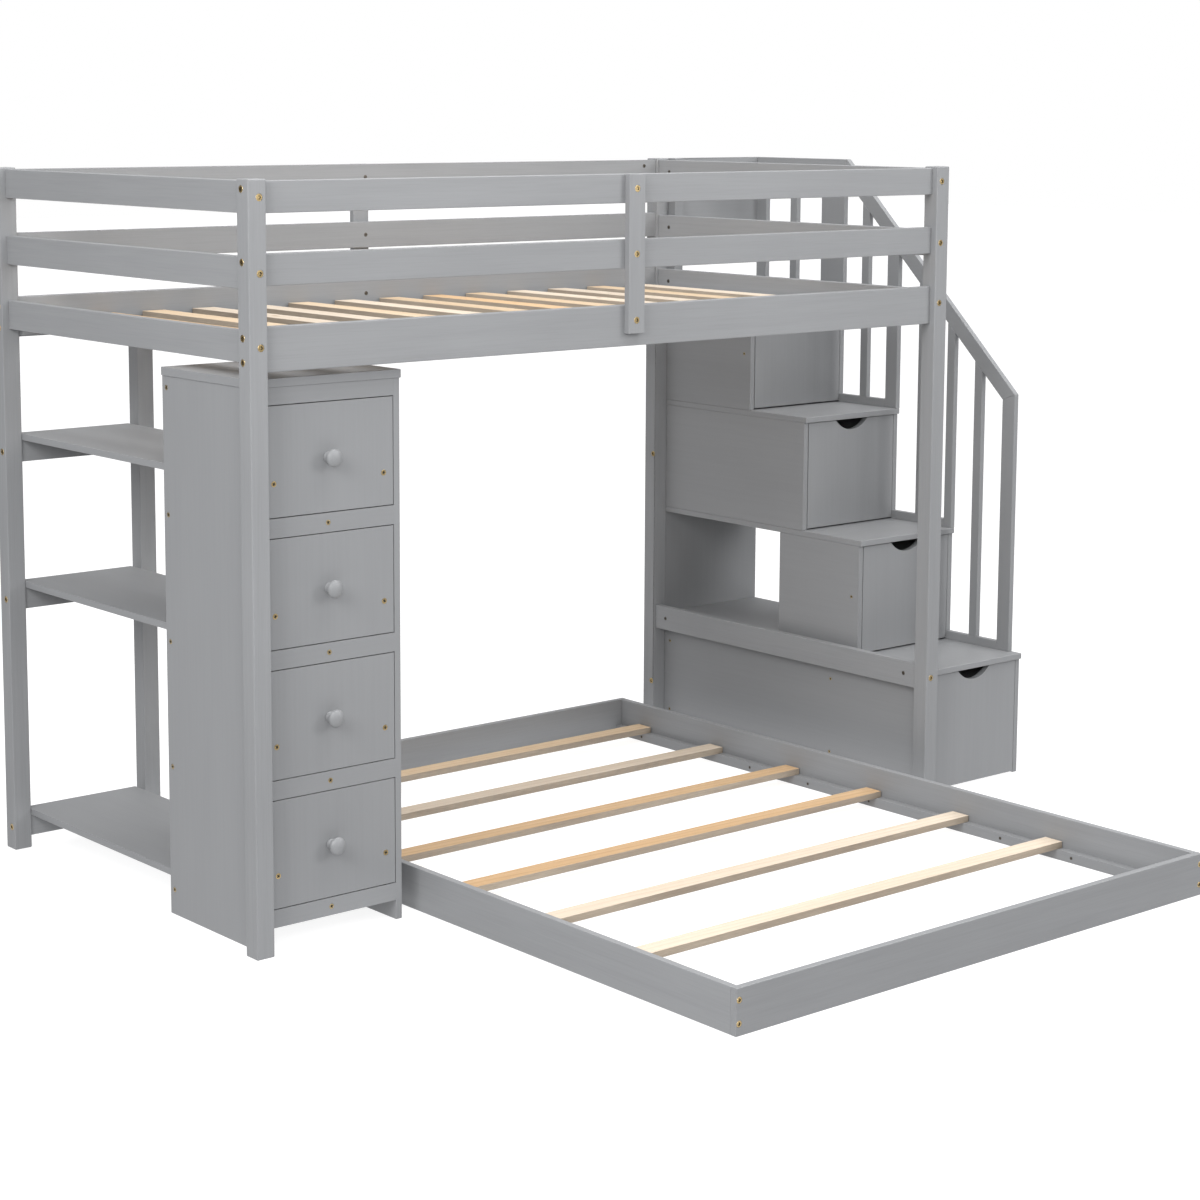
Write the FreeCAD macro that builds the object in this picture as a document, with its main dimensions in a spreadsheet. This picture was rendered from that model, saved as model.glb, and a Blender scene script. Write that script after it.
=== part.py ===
import FreeCAD, Part
import os
import re
import Sketcher

# Grey painted loft bed with a drawer chest, open shelves, storage stairs and a floor bed.
#
# Every board is laid out in one working frame: x runs along the loft from the outer face of
# its left posts, y runs from the front faces of its front posts to the back, z is up from the
# floor. The model's own origin is the middle of the whole footprint, on the floor.

V = FreeCAD.Vector
doc = FreeCAD.newDocument("loft_bed")

# ---------------------------------------------------------------- driving sizes (mm)
SIZES = (
    ("loft_length", 2010, "outer face to outer face of the posts, along x"),
    ("loft_depth", 1064, "outer face to outer face of the posts, along y"),
    ("loft_height", 1572, "top of the posts"),
    ("post_side", 42, "square posts and the square shelf upright"),
    ("rail_thick", 20, "all loft rails"),
    ("rail_setback", 16, "outer face of a rail behind the outer face of its posts"),
    ("rail_width", 64, "top, middle, end and tie rails"),
    ("deep_rail_width", 91, "low rails of the long sides"),
    ("top_drop", 4, "top rails below the post tops"),
    ("middle_drop", 147, "top edge of the long middle rails below the post tops"),
    ("low_drop", 291, "top edge of the deep low rails below the post tops"),
    ("end_middle_drop", 153, "top edge of the end middle rails below the post tops"),
    ("end_low_drop", 299, "top edge of the end low rails below the post tops"),
    ("tie_rail_top", 339, "top edge of the rail that ties the right posts near the floor"),
    ("strip_width", 46, "upright strips at mid length"),
    ("strip_length", 350, "upright strips at mid length"),
    ("slat_width", 60, "loft slats"),
    ("slat_thick", 14, "loft slats"),
    ("slat_drop", 338, "top of the loft slats below the post tops"),
    ("slat_margin", 55, "end rail to the first loft slat"),
    ("slat_end_gap", 3, "slat end to the rail beside it"),
    ("ledger_width", 20, "ledgers under the loft slats"),
    ("ledger_height", 26, "ledgers under the loft slats"),
    ("bolt_head_radius", 7.5, "socket-head frame bolts"),
    ("bolt_head_height", 3.5, "head sunk flush in its post"),
    ("bolt_shank_radius", 3, "frame bolts"),
    ("bolt_clearance", 0.2, "bore wall around a head, shank or barrel nut"),
    ("nut_radius", 5, "barrel nuts"),
    ("nut_length", 14, "barrel nuts"),
    ("nut_inset", 42, "barrel nut axis from the end of its rail"),
    ("low_bolt_spread", 24, "each of the two bolts of a deep rail from its middle"),
    ("bolt_stagger", 16, "long-rail bolts above the middle of their rail"),
    ("bolt_end_gap", 2, "end of a frame bolt before the bore of its barrel nut"),
    ("shelf_bolt_grip", 40, "shelf bolt in the end of its shelf rail"),
    ("blind_end", 3, "wood left past the end of a bolt or screw that stops in a panel"),
    ("screw_head_radius", 4, "stair screws"),
    ("chest_screw_head_radius", 5.5, "chest screws"),
    ("screw_head_height", 2.5, "chest and stair screws"),
    ("screw_shank_radius", 1.8, "chest and stair screws"),
    ("screw_length", 32, "panel screws through a chest side"),
    ("side_screw_drop", 7, "those screws below the middle of their rail"),
    ("chest_left", 33, "left face of the chest"),
    ("chest_front_gap", 4, "back of the front-left post to the chest"),
    ("chest_width", 360, "chest sides, outside"),
    ("chest_depth", 342, "chest sides, front to back"),
    ("chest_headroom", 16, "chest top to the low rails above it"),
    ("chest_panel", 15, "chest sides"),
    ("chest_top_thick", 18, "chest top"),
    ("chest_overhang", 3, "chest top past the sides and the front"),
    ("chest_foot", 42.5, "floor to the apron"),
    ("apron_width", 38, "chest apron"),
    ("divider_width", 40, "front rails between the chest drawers"),
    ("chest_cornice", 35.5, "front rail under the chest top"),
    ("divider_depth", 20, "front and back rails of the chest, front to back"),
    ("chest_back_thick", 6, "chest back"),
    ("runner_width", 16, "drawer runners"),
    ("runner_height", 12, "drawer runners"),
    ("front_reveal", 2, "gap all round a drawer front"),
    ("front_thick", 15, "drawer fronts"),
    ("box_wall", 12, "drawer sides and backs"),
    ("box_floor", 6, "drawer bottoms"),
    ("box_side_gap", 4, "drawer side to the panel beside it"),
    ("box_glide_gap", 0.6, "drawer bottom above what it slides on"),
    ("box_back_gap", 12, "drawer back to the panel behind it"),
    ("chest_box_height", 150, "chest drawer sides"),
    ("stair_box_height", 190, "stair drawer sides"),
    ("knob_radius", 19, "round knob, across"),
    ("knob_stem_radius", 9, "knob neck at the drawer"),
    ("knob_neck_radius", 6.3, "knob neck where it meets the head"),
    ("knob_stem_length", 16, "knob neck"),
    ("knob_half_depth", 11, "knob head, half its depth"),
    ("knob_head_centre", 6.6, "middle of the knob head past the end of the neck"),
    ("shelf_width", 290.5, "shelf boards, across"),
    ("shelf_thick", 15, "shelf boards"),
    ("shelf_gap", 0.5, "shelf board to the post and the chest beside it"),
    ("shelf_headroom", 221, "top shelf to the low rails above it"),
    ("shelf_pitch", 341, "top shelf to middle shelf"),
    ("low_shelf_top", 92, "top face of the lowest shelf"),
    ("shelf_rail_height", 50, "rails under the backs of the shelves"),
    ("upright_left", 346, "left face of the shelf upright"),
    ("stair_width", 352, "stair boxes, outside"),
    ("stair_panel", 15, "stair sides and stair guard"),
    ("tread_thick", 15, "treads"),
    ("nosing", 7, "tread past the box under it"),
    ("stair_back_gap", 24, "back of the stairs in front of the back of the posts"),
    ("stair_back_thick", 12, "back boards of the stairs"),
    ("base_front", 38, "front of the lowest box"),
    ("base_height", 315, "top of the first tread"),
    ("landing_drop", 362, "top of the fourth tread below the post tops"),
    ("step_two_front", 279, "front of the second box"),
    ("step_run", 205.5, "front of one box to the front of the next"),
    ("step_two_depth", 291, "second box, front to back"),
    ("base_drawer_depth", 480, "lowest stair drawer, front to back"),
    ("base_floor_gap", 12, "underside of the lowest box floor"),
    ("stair_bolt_edge", 10, "bolts from the back-right post in front of the back of the stairs"),
    ("stair_bolt_low", 124, "lower of those bolts above the floor"),
    ("panel_screw_high", 237, "upper screws of the lowest box above the floor"),
    ("panel_screw_low", 43, "lower screws of the lowest box above the floor"),
    ("panel_screw_edge", 25, "screws of the upper boxes behind their fronts"),
    ("base_screw_front", 336, "front screws of the lowest box behind its front"),
    ("base_screw_back", 40, "back screws of the lowest box in front of its back"),
    ("front_drop_gap", 4, "stair drawer front above the tread it passes over"),
    ("notch_width", 117, "finger cut-out in a stair drawer front, across"),
    ("notch_depth", 27, "finger cut-out, down"),
    ("guard_post_width", 41, "front post and third-tread post of the stair guard"),
    ("guard_rail_width", 40, "handrail and top rail of the stair guard"),
    ("guard_end_height", 670, "front top corner of the stair guard above the first tread"),
    ("guard_end_front", 64, "front face of the guard's front post"),
    ("guard_corner_lead", 14, "top corner of the handrail in front of the fourth box"),
    ("corner_post_width", 87, "wide guard post on the landing"),
    ("back_post_width", 38, "guard post at the back of the landing"),
    ("baluster_width", 26, "balusters"),
    ("foot_rail_height", 22, "guard rails lying on the treads"),
    ("landing_board_width", 210, "board across the back of the landing"),
    ("landing_stile_side", 30, "stile beside the back-right post"),
    ("bed_gap_chest", 56, "floor bed to the side of the chest"),
    ("bed_gap_post", 115, "floor bed to the right posts"),
    ("bed_gap_back", 44, "floor bed in front of the back of the posts"),
    ("bed_length", 1950, "floor bed, front to back"),
    ("bed_height", 94, "floor bed rails"),
    ("bed_rail_thick", 16, "floor bed rails"),
    ("bed_ledger_side", 20, "floor bed ledgers, across"),
    ("bed_ledger_height", 24, "floor bed ledgers, up from the floor"),
    ("bed_slat_width", 50, "floor bed slats"),
    ("bed_slat_thick", 16, "floor bed slats"),
    ("bed_slat_start", 75, "back rail to the first floor bed slat"),
    ("bed_slat_pitch", 286.5, "one floor bed slat to the next"),
    ("bed_bolt_head_radius", 6.5, "floor bed bolts"),
    ("bed_bolt_length", 60, "floor bed bolts"),
    ("bed_bolt_rise", 23, "floor bed bolts above and below the middle of the rail"),
)
SLATS = 14
BED_SLATS = 6
DRAWERS = 4
STEPS = 4
LEAST_CUTOUT = 1000  # cubic millimetres

sheet = doc.addObject("Spreadsheet::Sheet", "Sizes")
for row, (alias, value, note) in enumerate(SIZES, start=1):
    sheet.set("A%d" % row, alias)
    sheet.set("B%d" % row, str(value))
    sheet.set("C%d" % row, note)
    sheet.setAlias("B%d" % row, alias)
doc.recompute()

ALIASES = {alias for alias, value, note in SIZES}


def bound(text):
    """Turn a formula in bare size names into one that reads the sheet."""
    return re.sub(r"[a-z_]+", lambda word: "Sizes." + word.group() if word.group() in ALIASES
                  else word.group(), text)


# ---------------------------------------------------------------- shared places, as formulas
MIDDLE_X = "((loft_length + stair_width) / 2)"
BED_BACK = "(loft_depth - bed_gap_back)"
BED_FRONT = "(loft_depth - bed_gap_back - bed_length)"
MIDDLE_Y = "((loft_depth + loft_depth - bed_gap_back - bed_length) / 2)"

RIGHT_POST = "(loft_length - post_side)"
BACK_POST = "(loft_depth - post_side)"
RAIL_IN = "(rail_setback + rail_thick)"
LONG_RUN = "(loft_length - 2 * post_side)"
END_RUN = "(loft_depth - 2 * post_side)"
BACK_RAIL = "(loft_depth - rail_setback - rail_thick)"
RIGHT_RAIL = "(loft_length - rail_setback - rail_thick)"
RAIL_AXIS = "(rail_setback + rail_thick / 2)"
UNDERSIDE = "(loft_height - low_drop - deep_rail_width)"

objects = {}


def keep(thing, label):
    """Name a finished sub-part; its label is its file name."""
    thing.Label = label
    objects[label] = thing
    return thing


def place(thing, x, y, z):
    """Put a piece at a point of the working frame."""
    thing.setExpression("Placement.Base.x", bound("%s - %s" % (x, MIDDLE_X)))
    thing.setExpression("Placement.Base.y", bound("%s - %s" % (y, MIDDLE_Y)))
    thing.setExpression("Placement.Base.z", bound(z))
    return thing


def board(name, x, y, z, along_x, along_y, along_z):
    """A rectangular board by its low corner and its three sizes."""
    box = doc.addObject("Part::Box", name)
    box.setExpression("Length", bound(along_x))
    box.setExpression("Width", bound(along_y))
    box.setExpression("Height", bound(along_z))
    return place(box, x, y, z)


TURNS = {
    "+x": FreeCAD.Rotation(V(0, 0, 1), V(1, 0, 0)),
    "-x": FreeCAD.Rotation(V(0, 0, 1), V(-1, 0, 0)),
    "+y": FreeCAD.Rotation(V(0, 0, 1), V(0, 1, 0)),
    "-y": FreeCAD.Rotation(V(0, 0, 1), V(0, -1, 0)),
}


def rod(name, way, x, y, z, radius, length):
    """A round bar that starts at a point and runs along x or y."""
    bar = doc.addObject("Part::Cylinder", name)
    bar.Placement = FreeCAD.Placement(V(0, 0, 0), TURNS[way])
    bar.setExpression("Radius", bound(radius))
    bar.setExpression("Height", bound(length))
    return place(bar, x, y, z)


def group(name, pieces):
    """Several separate solids that share one node."""
    compound = doc.addObject("Part::Compound", name)
    compound.Links = pieces
    return compound


def cut(name, whole, tools):
    """A board with the bores of its bolts and nuts taken out."""
    result = doc.addObject("Part::Cut", name)
    result.Base = whole
    result.Tool = group(name + "_bores", tools)
    return result


# ---------------------------------------------------------------- bolts and barrel nuts
bolts = []
screws = []
nuts = []
bores = {}


def step_along(way, x, y, z, distance):
    """The point a distance further along x or y."""
    sign = way[0]
    if way[1] == "x":
        return "(%s %s %s)" % (x, sign, distance), y, z
    return x, "(%s %s %s)" % (y, sign, distance), z


def bolt_shape(name, way, x, y, z, length, grow, sizes):
    """Head and shank as one solid; grow is what a bore adds to each radius."""
    head_radius, head_height, shank_radius = sizes
    head = rod(name + "_head", way, x, y, z, "%s + %s" % (head_radius, grow), head_height)
    at = step_along(way, x, y, z, "%s / 2" % head_height)
    shank = rod(name + "_shank", way, at[0], at[1], at[2], "%s + %s" % (shank_radius, grow),
                "%s - %s / 2" % (length, head_height))
    whole = doc.addObject("Part::Fuse", name)
    whole.Base = head
    whole.Tool = shank
    return whole


FRAME_BOLT = ("bolt_head_radius", "bolt_head_height", "bolt_shank_radius")
BED_BOLT = ("bed_bolt_head_radius", "bolt_head_height", "bolt_shank_radius")
STAIR_SCREW = ("screw_head_radius", "screw_head_height", "screw_shank_radius")
CHEST_SCREW = ("chest_screw_head_radius", "screw_head_height", "screw_shank_radius")


def add_bolt(tag, way, x, y, z, length, through, sizes=FRAME_BOLT, store=bolts):
    """A bolt, and a bore for it in every piece it goes through."""
    store.append(bolt_shape("bolt_" + tag, way, x, y, z, length, "0", sizes))
    for piece in through:
        bore = bolt_shape("bore_%s_%s" % (tag, piece), way, x, y, z, length,
                          "bolt_clearance", sizes)
        bores.setdefault(piece, []).append(bore)


def add_nut(tag, way, x, y, z, piece):
    """A barrel nut let into the inner face of a rail, and its bore."""
    nuts.append(rod("nut_" + tag, way, x, y, z, "nut_radius", "nut_length"))
    bores.setdefault(piece, []).append(
        rod("nut_bore_" + tag, way, x, y, z, "nut_radius + bolt_clearance", "nut_length"))


BOLT_REACH = "(post_side + nut_inset - nut_radius - bolt_clearance - bolt_end_gap)"
NUT_FROM_END = "(post_side + nut_inset)"
TOP_Z = "(loft_height - top_drop - rail_width / 2)"
MIDDLE_Z = "(loft_height - middle_drop - rail_width / 2)"
LOW_Z = "(loft_height - low_drop - deep_rail_width / 2)"
END_MIDDLE_Z = "(loft_height - end_middle_drop - rail_width / 2)"
END_LOW_Z = "(loft_height - end_low_drop - rail_width / 2)"
TIE_Z = "(tie_rail_top - rail_width / 2)"

long_bolts = (
    ("top", TOP_Z + " + bolt_stagger"),
    ("middle", MIDDLE_Z + " + bolt_stagger"),
    ("low_a", LOW_Z + " + low_bolt_spread"),
    ("low_b", LOW_Z + " - low_bolt_spread"),
)
for side, y, nut_way, nut_y in (
        ("front", RAIL_AXIS, "-y", RAIL_IN),
        ("back", "(loft_depth - %s)" % RAIL_AXIS, "+y", BACK_RAIL)):
    for level, z in long_bolts:
        rail = "%s_rail_%s" % (side, level.split("_")[0])
        for end, way, x, nut_x in (
                ("left", "+x", "0", NUT_FROM_END),
                ("right", "-x", "loft_length", "(loft_length - %s)" % NUT_FROM_END)):
            tag = "%s_%s_%s" % (side, level, end)
            add_bolt(tag, way, x, y, z, BOLT_REACH, ("post_%s_%s" % (side, end), rail))
            add_nut(tag, nut_way, nut_x, nut_y, z, rail)

end_levels = (("top", TOP_Z), ("middle", END_MIDDLE_Z), ("low", END_LOW_Z), ("tie", TIE_Z))
for end, x, nut_way, nut_x in (
        ("left", RAIL_AXIS, "-x", RAIL_IN),
        ("right", "(loft_length - %s)" % RAIL_AXIS, "+x", RIGHT_RAIL)):
    for level, z in end_levels:
        if level == "tie" and end == "left":
            continue
        rail = "%s_end_%s" % (end, level)
        for side, way, y, nut_y in (
                ("front", "+y", "0", NUT_FROM_END),
                ("back", "-y", "loft_depth", "(loft_depth - %s)" % NUT_FROM_END)):
            tag = "%s_%s_%s" % (end, level, side)
            add_bolt(tag, way, x, y, z, BOLT_REACH, ("post_%s_%s" % (side, end), rail))
            add_nut(tag, nut_way, nut_x, nut_y, z, rail)

strip_bolts = (("top", TOP_Z), ("middle", MIDDLE_Z), ("low", LOW_Z + " + low_bolt_spread / 2"))
for side, way, y in (("front", "+y", "0"), ("back", "-y", "loft_depth")):
    for level, z in strip_bolts:
        add_bolt("strip_%s_%s" % (side, level), way, "(loft_length / 2)", y, z, RAIL_IN,
                 ("strip_" + side, "%s_rail_%s" % (side, level)))

TOP_SHELF = "(%s - shelf_headroom)" % UNDERSIDE
shelf_levels = (
    ("top", TOP_SHELF),
    ("middle", "(%s - shelf_pitch)" % TOP_SHELF),
    ("low", "low_shelf_top"),
)
SHELF_BOLT = "(post_side + shelf_bolt_grip)"
for level, top in shelf_levels:
    z = "(%s - shelf_thick - shelf_rail_height / 2)" % top
    y = "(loft_depth - %s)" % RAIL_AXIS
    add_bolt("shelf_%s_left" % level, "+x", "0", y, z, SHELF_BOLT,
             ("post_back_left", "shelf_rail_" + level))
    add_bolt("shelf_%s_right" % level, "-x", "(upright_left + post_side)", y, z, SHELF_BOLT,
             ("shelf_upright", "shelf_rail_" + level))

STAIR_BACK = "(loft_depth - stair_back_gap)"
LANDING = "(loft_height - landing_drop)"
RISE = "((loft_height - landing_drop - base_height) / 3)"
TREAD_TOPS = ("base_height", "(base_height + %s)" % RISE, "(base_height + 2 * %s)" % RISE, LANDING)
STEP_FRONTS = ("base_front", "step_two_front", "(step_two_front + step_run)",
               "(step_two_front + 2 * step_run)")
STAIR_BOLT_Y = "(%s - stair_bolt_edge)" % STAIR_BACK
STAIR_BOLT = "(post_side + stair_panel - blind_end)"
for level, z, panel in (
        ("low", "stair_bolt_low", "base_side_left"),
        ("high", "((%s + %s) / 2)" % (TREAD_TOPS[1], TREAD_TOPS[2]), "step_3_side_left")):
    add_bolt("stair_" + level, "+x", RIGHT_POST, STAIR_BOLT_Y, z, STAIR_BOLT,
             ("post_back_right", panel))

# ---------------------------------------------------------------- loft posts
for side, y in (("front", "0"), ("back", BACK_POST)):
    for end, x in (("left", "0"), ("right", RIGHT_POST)):
        label = "post_%s_%s" % (side, end)
        blank = board(label + "_blank", x, y, "0", "post_side", "post_side", "loft_height")
        keep(cut(label, blank, bores[label]), label)

# ---------------------------------------------------------------- loft rails
for side, y in (("front", "rail_setback"), ("back", BACK_RAIL)):
    for level, drop, width in (
            ("top", "top_drop", "rail_width"),
            ("middle", "middle_drop", "rail_width"),
            ("low", "low_drop", "deep_rail_width")):
        label = "%s_rail_%s" % (side, level)
        z = "(loft_height - %s - %s)" % (drop, width)
        blank = board(label + "_blank", "post_side", y, z, LONG_RUN, "rail_thick", width)
        keep(cut(label, blank, bores[label]), label)

for end, x in (("left", "rail_setback"), ("right", RIGHT_RAIL)):
    pieces = []
    for level, drop in (("top", "top_drop"), ("middle", "end_middle_drop"), ("low", "end_low_drop")):
        name = "%s_end_%s" % (end, level)
        z = "(loft_height - %s - rail_width)" % drop
        blank = board(name + "_blank", x, "post_side", z, "rail_thick", END_RUN, "rail_width")
        pieces.append(cut(name, blank, bores[name]))
    keep(group(end + "_end_rails", pieces), end + "_end_rails")

blank = board("tie_blank", RIGHT_RAIL, "post_side", "(tie_rail_top - rail_width)",
              "rail_thick", END_RUN, "rail_width")
keep(cut("stair_tie_rail", blank, bores["right_end_tie"]), "stair_tie_rail")

strips = []
for side, y in (("front", "0"), ("back", "(loft_depth - rail_setback)")):
    blank = board("strip_%s_blank" % side, "(loft_length / 2 - strip_width / 2)", y,
                  "(loft_height - top_drop - strip_length)",
                  "strip_width", "rail_setback", "strip_length")
    strips.append(cut("strip_" + side, blank, bores["strip_" + side]))
keep(group("guard_strips", strips), "guard_strips")

# ---------------------------------------------------------------- loft slats
LEDGER_TOP = "(loft_height - slat_drop - slat_thick)"
ledgers = []
for side, y in (("front", RAIL_IN), ("back", "(%s - ledger_width)" % BACK_RAIL)):
    ledgers.append(board("loft_ledger_" + side, "post_side", y, LEDGER_TOP + " - ledger_height",
                         LONG_RUN, "ledger_width", "ledger_height"))
keep(group("loft_ledgers", ledgers), "loft_ledgers")

INNER_LENGTH = "(loft_length - 2 * rail_setback - 2 * rail_thick)"
INNER_DEPTH = "(loft_depth - 2 * rail_setback - 2 * rail_thick)"
SLAT_PITCH = "((%s - 2 * slat_margin - slat_width) / %d)" % (INNER_LENGTH, SLATS - 1)
slats = []
for index in range(SLATS):
    x = "(%s + slat_margin + %d * %s)" % (RAIL_IN, index, SLAT_PITCH)
    slats.append(board("loft_slat_%d" % (index + 1), x, "(%s + slat_end_gap)" % RAIL_IN, LEDGER_TOP,
                       "slat_width", "(%s - 2 * slat_end_gap)" % INNER_DEPTH, "slat_thick"))
keep(group("loft_slats", slats), "loft_slats")

# ---------------------------------------------------------------- shelves
# the upright stops under the back low rail, which sits over its middle
blank = board("upright_blank", "upright_left", BACK_POST, "0",
              "post_side", "post_side", UNDERSIDE)
keep(cut("shelf_upright", blank, bores["shelf_upright"]), "shelf_upright")

CHEST_FRONT = "(post_side + chest_front_gap)"
CHEST_BACK = "(post_side + chest_front_gap + chest_depth)"
shelf_rails = []
shelf_boards = []
for level, top in shelf_levels:
    name = "shelf_rail_" + level
    blank = board(name + "_blank", "post_side", BACK_RAIL,
                  "(%s - shelf_thick - shelf_rail_height)" % top,
                  "(upright_left - post_side)", "rail_thick", "shelf_rail_height")
    shelf_rails.append(cut(name, blank, bores[name]))
    shelf_boards.append(board("shelf_board_" + level, "(post_side + shelf_gap)",
                              "(%s + shelf_gap)" % CHEST_BACK, "(%s - shelf_thick)" % top,
                              "shelf_width",
                              "(%s + rail_thick - %s - shelf_gap)" % (BACK_RAIL, CHEST_BACK),
                              "shelf_thick"))
keep(group("shelf_rails", shelf_rails), "shelf_rails")
keep(group("shelf_boards", shelf_boards), "shelf_boards")

# ---------------------------------------------------------------- chest
CHEST_HEIGHT = "(%s - chest_headroom)" % UNDERSIDE
CHEST_INSIDE = "(chest_left + chest_panel)"
CHEST_OPENING_WIDTH = "(chest_width - 2 * chest_panel)"
CHEST_OPENING = ("((%s - chest_top_thick - chest_cornice - chest_foot - apron_width"
                 " - %d * divider_width) / %d)" % (CHEST_HEIGHT, DRAWERS - 1, DRAWERS))
SIDE_HEIGHT = "(%s - chest_top_thick)" % CHEST_HEIGHT

opening_floors = ["(chest_foot + apron_width + %d * (%s + divider_width))" % (index, CHEST_OPENING)
                  for index in range(DRAWERS)]
rail_levels = [("apron", "chest_foot", "apron_width")]
for index in range(1, DRAWERS):
    rail_levels.append(("divider_%d" % index, "(%s - divider_width)" % opening_floors[index],
                        "divider_width"))
rail_levels.append(("cornice", "(%s - chest_cornice)" % SIDE_HEIGHT, "chest_cornice"))

CHEST_RIGHT_PANEL = "(chest_left + chest_width - chest_panel)"
CHEST_REAR_RAIL = "(%s - chest_back_thick - divider_depth)" % CHEST_BACK
for level, rail_z, height in rail_levels:
    z = "(%s + %s / 2)" % (rail_z, height)
    side_z = "(%s - side_screw_drop)" % z
    if level != "cornice":
        add_bolt("chest_%s" % level, "+y", "(chest_left + chest_width / 2)", CHEST_FRONT, z,
                 "(divider_depth - blind_end)", ("chest_front_" + level,), CHEST_SCREW, screws)
    for row, rail_y in (("front", CHEST_FRONT), ("rear", CHEST_REAR_RAIL)):
        y = "(%s + divider_depth / 2)" % rail_y
        for end, way, x in (("left", "+x", "chest_left"),
                            ("right", "-x", "(chest_left + chest_width)")):
            add_bolt("chest_%s_%s_%s" % (row, level, end), way, x, y, side_z, "screw_length",
                     ("chest_side_" + end, "chest_%s_%s" % (row, level)), CHEST_SCREW,
                     screws)

sides = []
for end, x in (("left", "chest_left"), ("right", CHEST_RIGHT_PANEL)):
    name = "chest_side_" + end
    blank = board(name + "_blank", x, CHEST_FRONT, "0", "chest_panel", "chest_depth", SIDE_HEIGHT)
    sides.append(cut(name, blank, bores[name]))
keep(group("chest_sides", sides), "chest_sides")
keep(board("chest_top", "(chest_left - chest_overhang)", "(%s - chest_overhang)" % CHEST_FRONT,
           SIDE_HEIGHT, "(chest_width + 2 * chest_overhang)", "(chest_depth + chest_overhang)",
           "chest_top_thick"), "chest_top")
keep(board("chest_back", CHEST_INSIDE, "(%s - chest_back_thick)" % CHEST_BACK, "chest_foot",
           CHEST_OPENING_WIDTH, "chest_back_thick", "(%s - chest_foot)" % SIDE_HEIGHT), "chest_back")

chest_rails = []
for level, rail_z, height in rail_levels:
    for row, rail_y in (("front", CHEST_FRONT), ("rear", CHEST_REAR_RAIL)):
        name = "chest_%s_%s" % (row, level)
        blank = board(name + "_blank", CHEST_INSIDE, rail_y, rail_z,
                      CHEST_OPENING_WIDTH, "divider_depth", height)
        chest_rails.append(cut(name, blank, bores[name]))
keep(group("chest_rails", chest_rails), "chest_rails")

runners = []
RUNNER_START = "(%s + divider_depth)" % CHEST_FRONT
RUNNER_RUN = "(%s - %s)" % (CHEST_REAR_RAIL, RUNNER_START)
for index, floor_z in enumerate(opening_floors):
    for end, x in (("left", CHEST_INSIDE),
                   ("right", "(%s - runner_width)" % CHEST_RIGHT_PANEL)):
        runners.append(board("runner_%d_%s" % (index + 1, end), x, RUNNER_START,
                             "(%s - runner_height)" % floor_z,
                             "runner_width", RUNNER_RUN, "runner_height"))
keep(group("chest_runners", runners), "chest_runners")


def drawer_box(tag, left, front, floor_z, opening_width, depth, height):
    """The two sides, the back and the bottom behind a drawer front."""
    x = "(%s + box_side_gap)" % left
    y = "(%s + front_thick)" % front
    z = "(%s + box_glide_gap)" % floor_z
    width = "(%s - 2 * box_side_gap)" % opening_width
    run = "(%s - front_thick)" % depth
    inner = "(%s - 2 * box_wall)" % width
    far = "(%s + %s - box_wall)" % (x, width)
    back = "(%s + %s - box_wall)" % (y, run)
    return [
        board(tag + "_side_left", x, y, z, "box_wall", run, height),
        board(tag + "_side_right", far, y, z, "box_wall", run, height),
        board(tag + "_back", "(%s + box_wall)" % x, back, z, inner, "box_wall", height),
        board(tag + "_bottom", "(%s + box_wall)" % x, y, z, inner, "(%s - box_wall)" % run,
              "box_floor"),
    ]


CHEST_BOX_DEPTH = "(chest_depth - chest_back_thick - box_back_gap)"
for index, floor_z in enumerate(opening_floors):
    label = "chest_drawer_%d" % (index + 1)
    front_z = "(%s + front_reveal)" % floor_z
    front_height = "(%s - 2 * front_reveal)" % CHEST_OPENING
    front = board(label + "_front", "(%s + front_reveal)" % CHEST_INSIDE, CHEST_FRONT, front_z,
                  "(%s - 2 * front_reveal)" % CHEST_OPENING_WIDTH, "front_thick", front_height)
    pieces = drawer_box(label, CHEST_INSIDE, CHEST_FRONT, floor_z, CHEST_OPENING_WIDTH,
                        CHEST_BOX_DEPTH, "chest_box_height")
    keep(group(label, [front] + pieces), label)

    knob_x = "(chest_left + chest_width / 2)"
    knob_z = "(%s + %s / 2)" % (floor_z, CHEST_OPENING)
    tag = "knob_%d" % (index + 1)
    stem = doc.addObject("Part::Cone", tag + "_stem")
    stem.Placement = FreeCAD.Placement(V(0, 0, 0), TURNS["-y"])
    stem.setExpression("Radius1", bound("knob_stem_radius"))
    stem.setExpression("Radius2", bound("knob_neck_radius"))
    stem.setExpression("Height", bound("knob_stem_length"))
    place(stem, knob_x, CHEST_FRONT, knob_z)
    head = doc.addObject("Part::Ellipsoid", tag + "_head")
    head.Placement = FreeCAD.Placement(V(0, 0, 0), TURNS["-y"])
    head.setExpression("Radius1", bound("knob_half_depth"))
    head.setExpression("Radius2", bound("knob_radius"))
    head.setExpression("Radius3", bound("knob_radius"))
    place(head, knob_x, "(%s - knob_stem_length - knob_head_centre)" % CHEST_FRONT, knob_z)
    knob = doc.addObject("Part::Fuse", "chest_" + tag)
    knob.Base = stem
    knob.Tool = head
    keep(knob, "chest_" + tag)


# ---------------------------------------------------------------- sketched bodies
def origin_plane(body, role):
    return next(item for item in body.Origin.OriginFeatures if item.Role == role)


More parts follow.
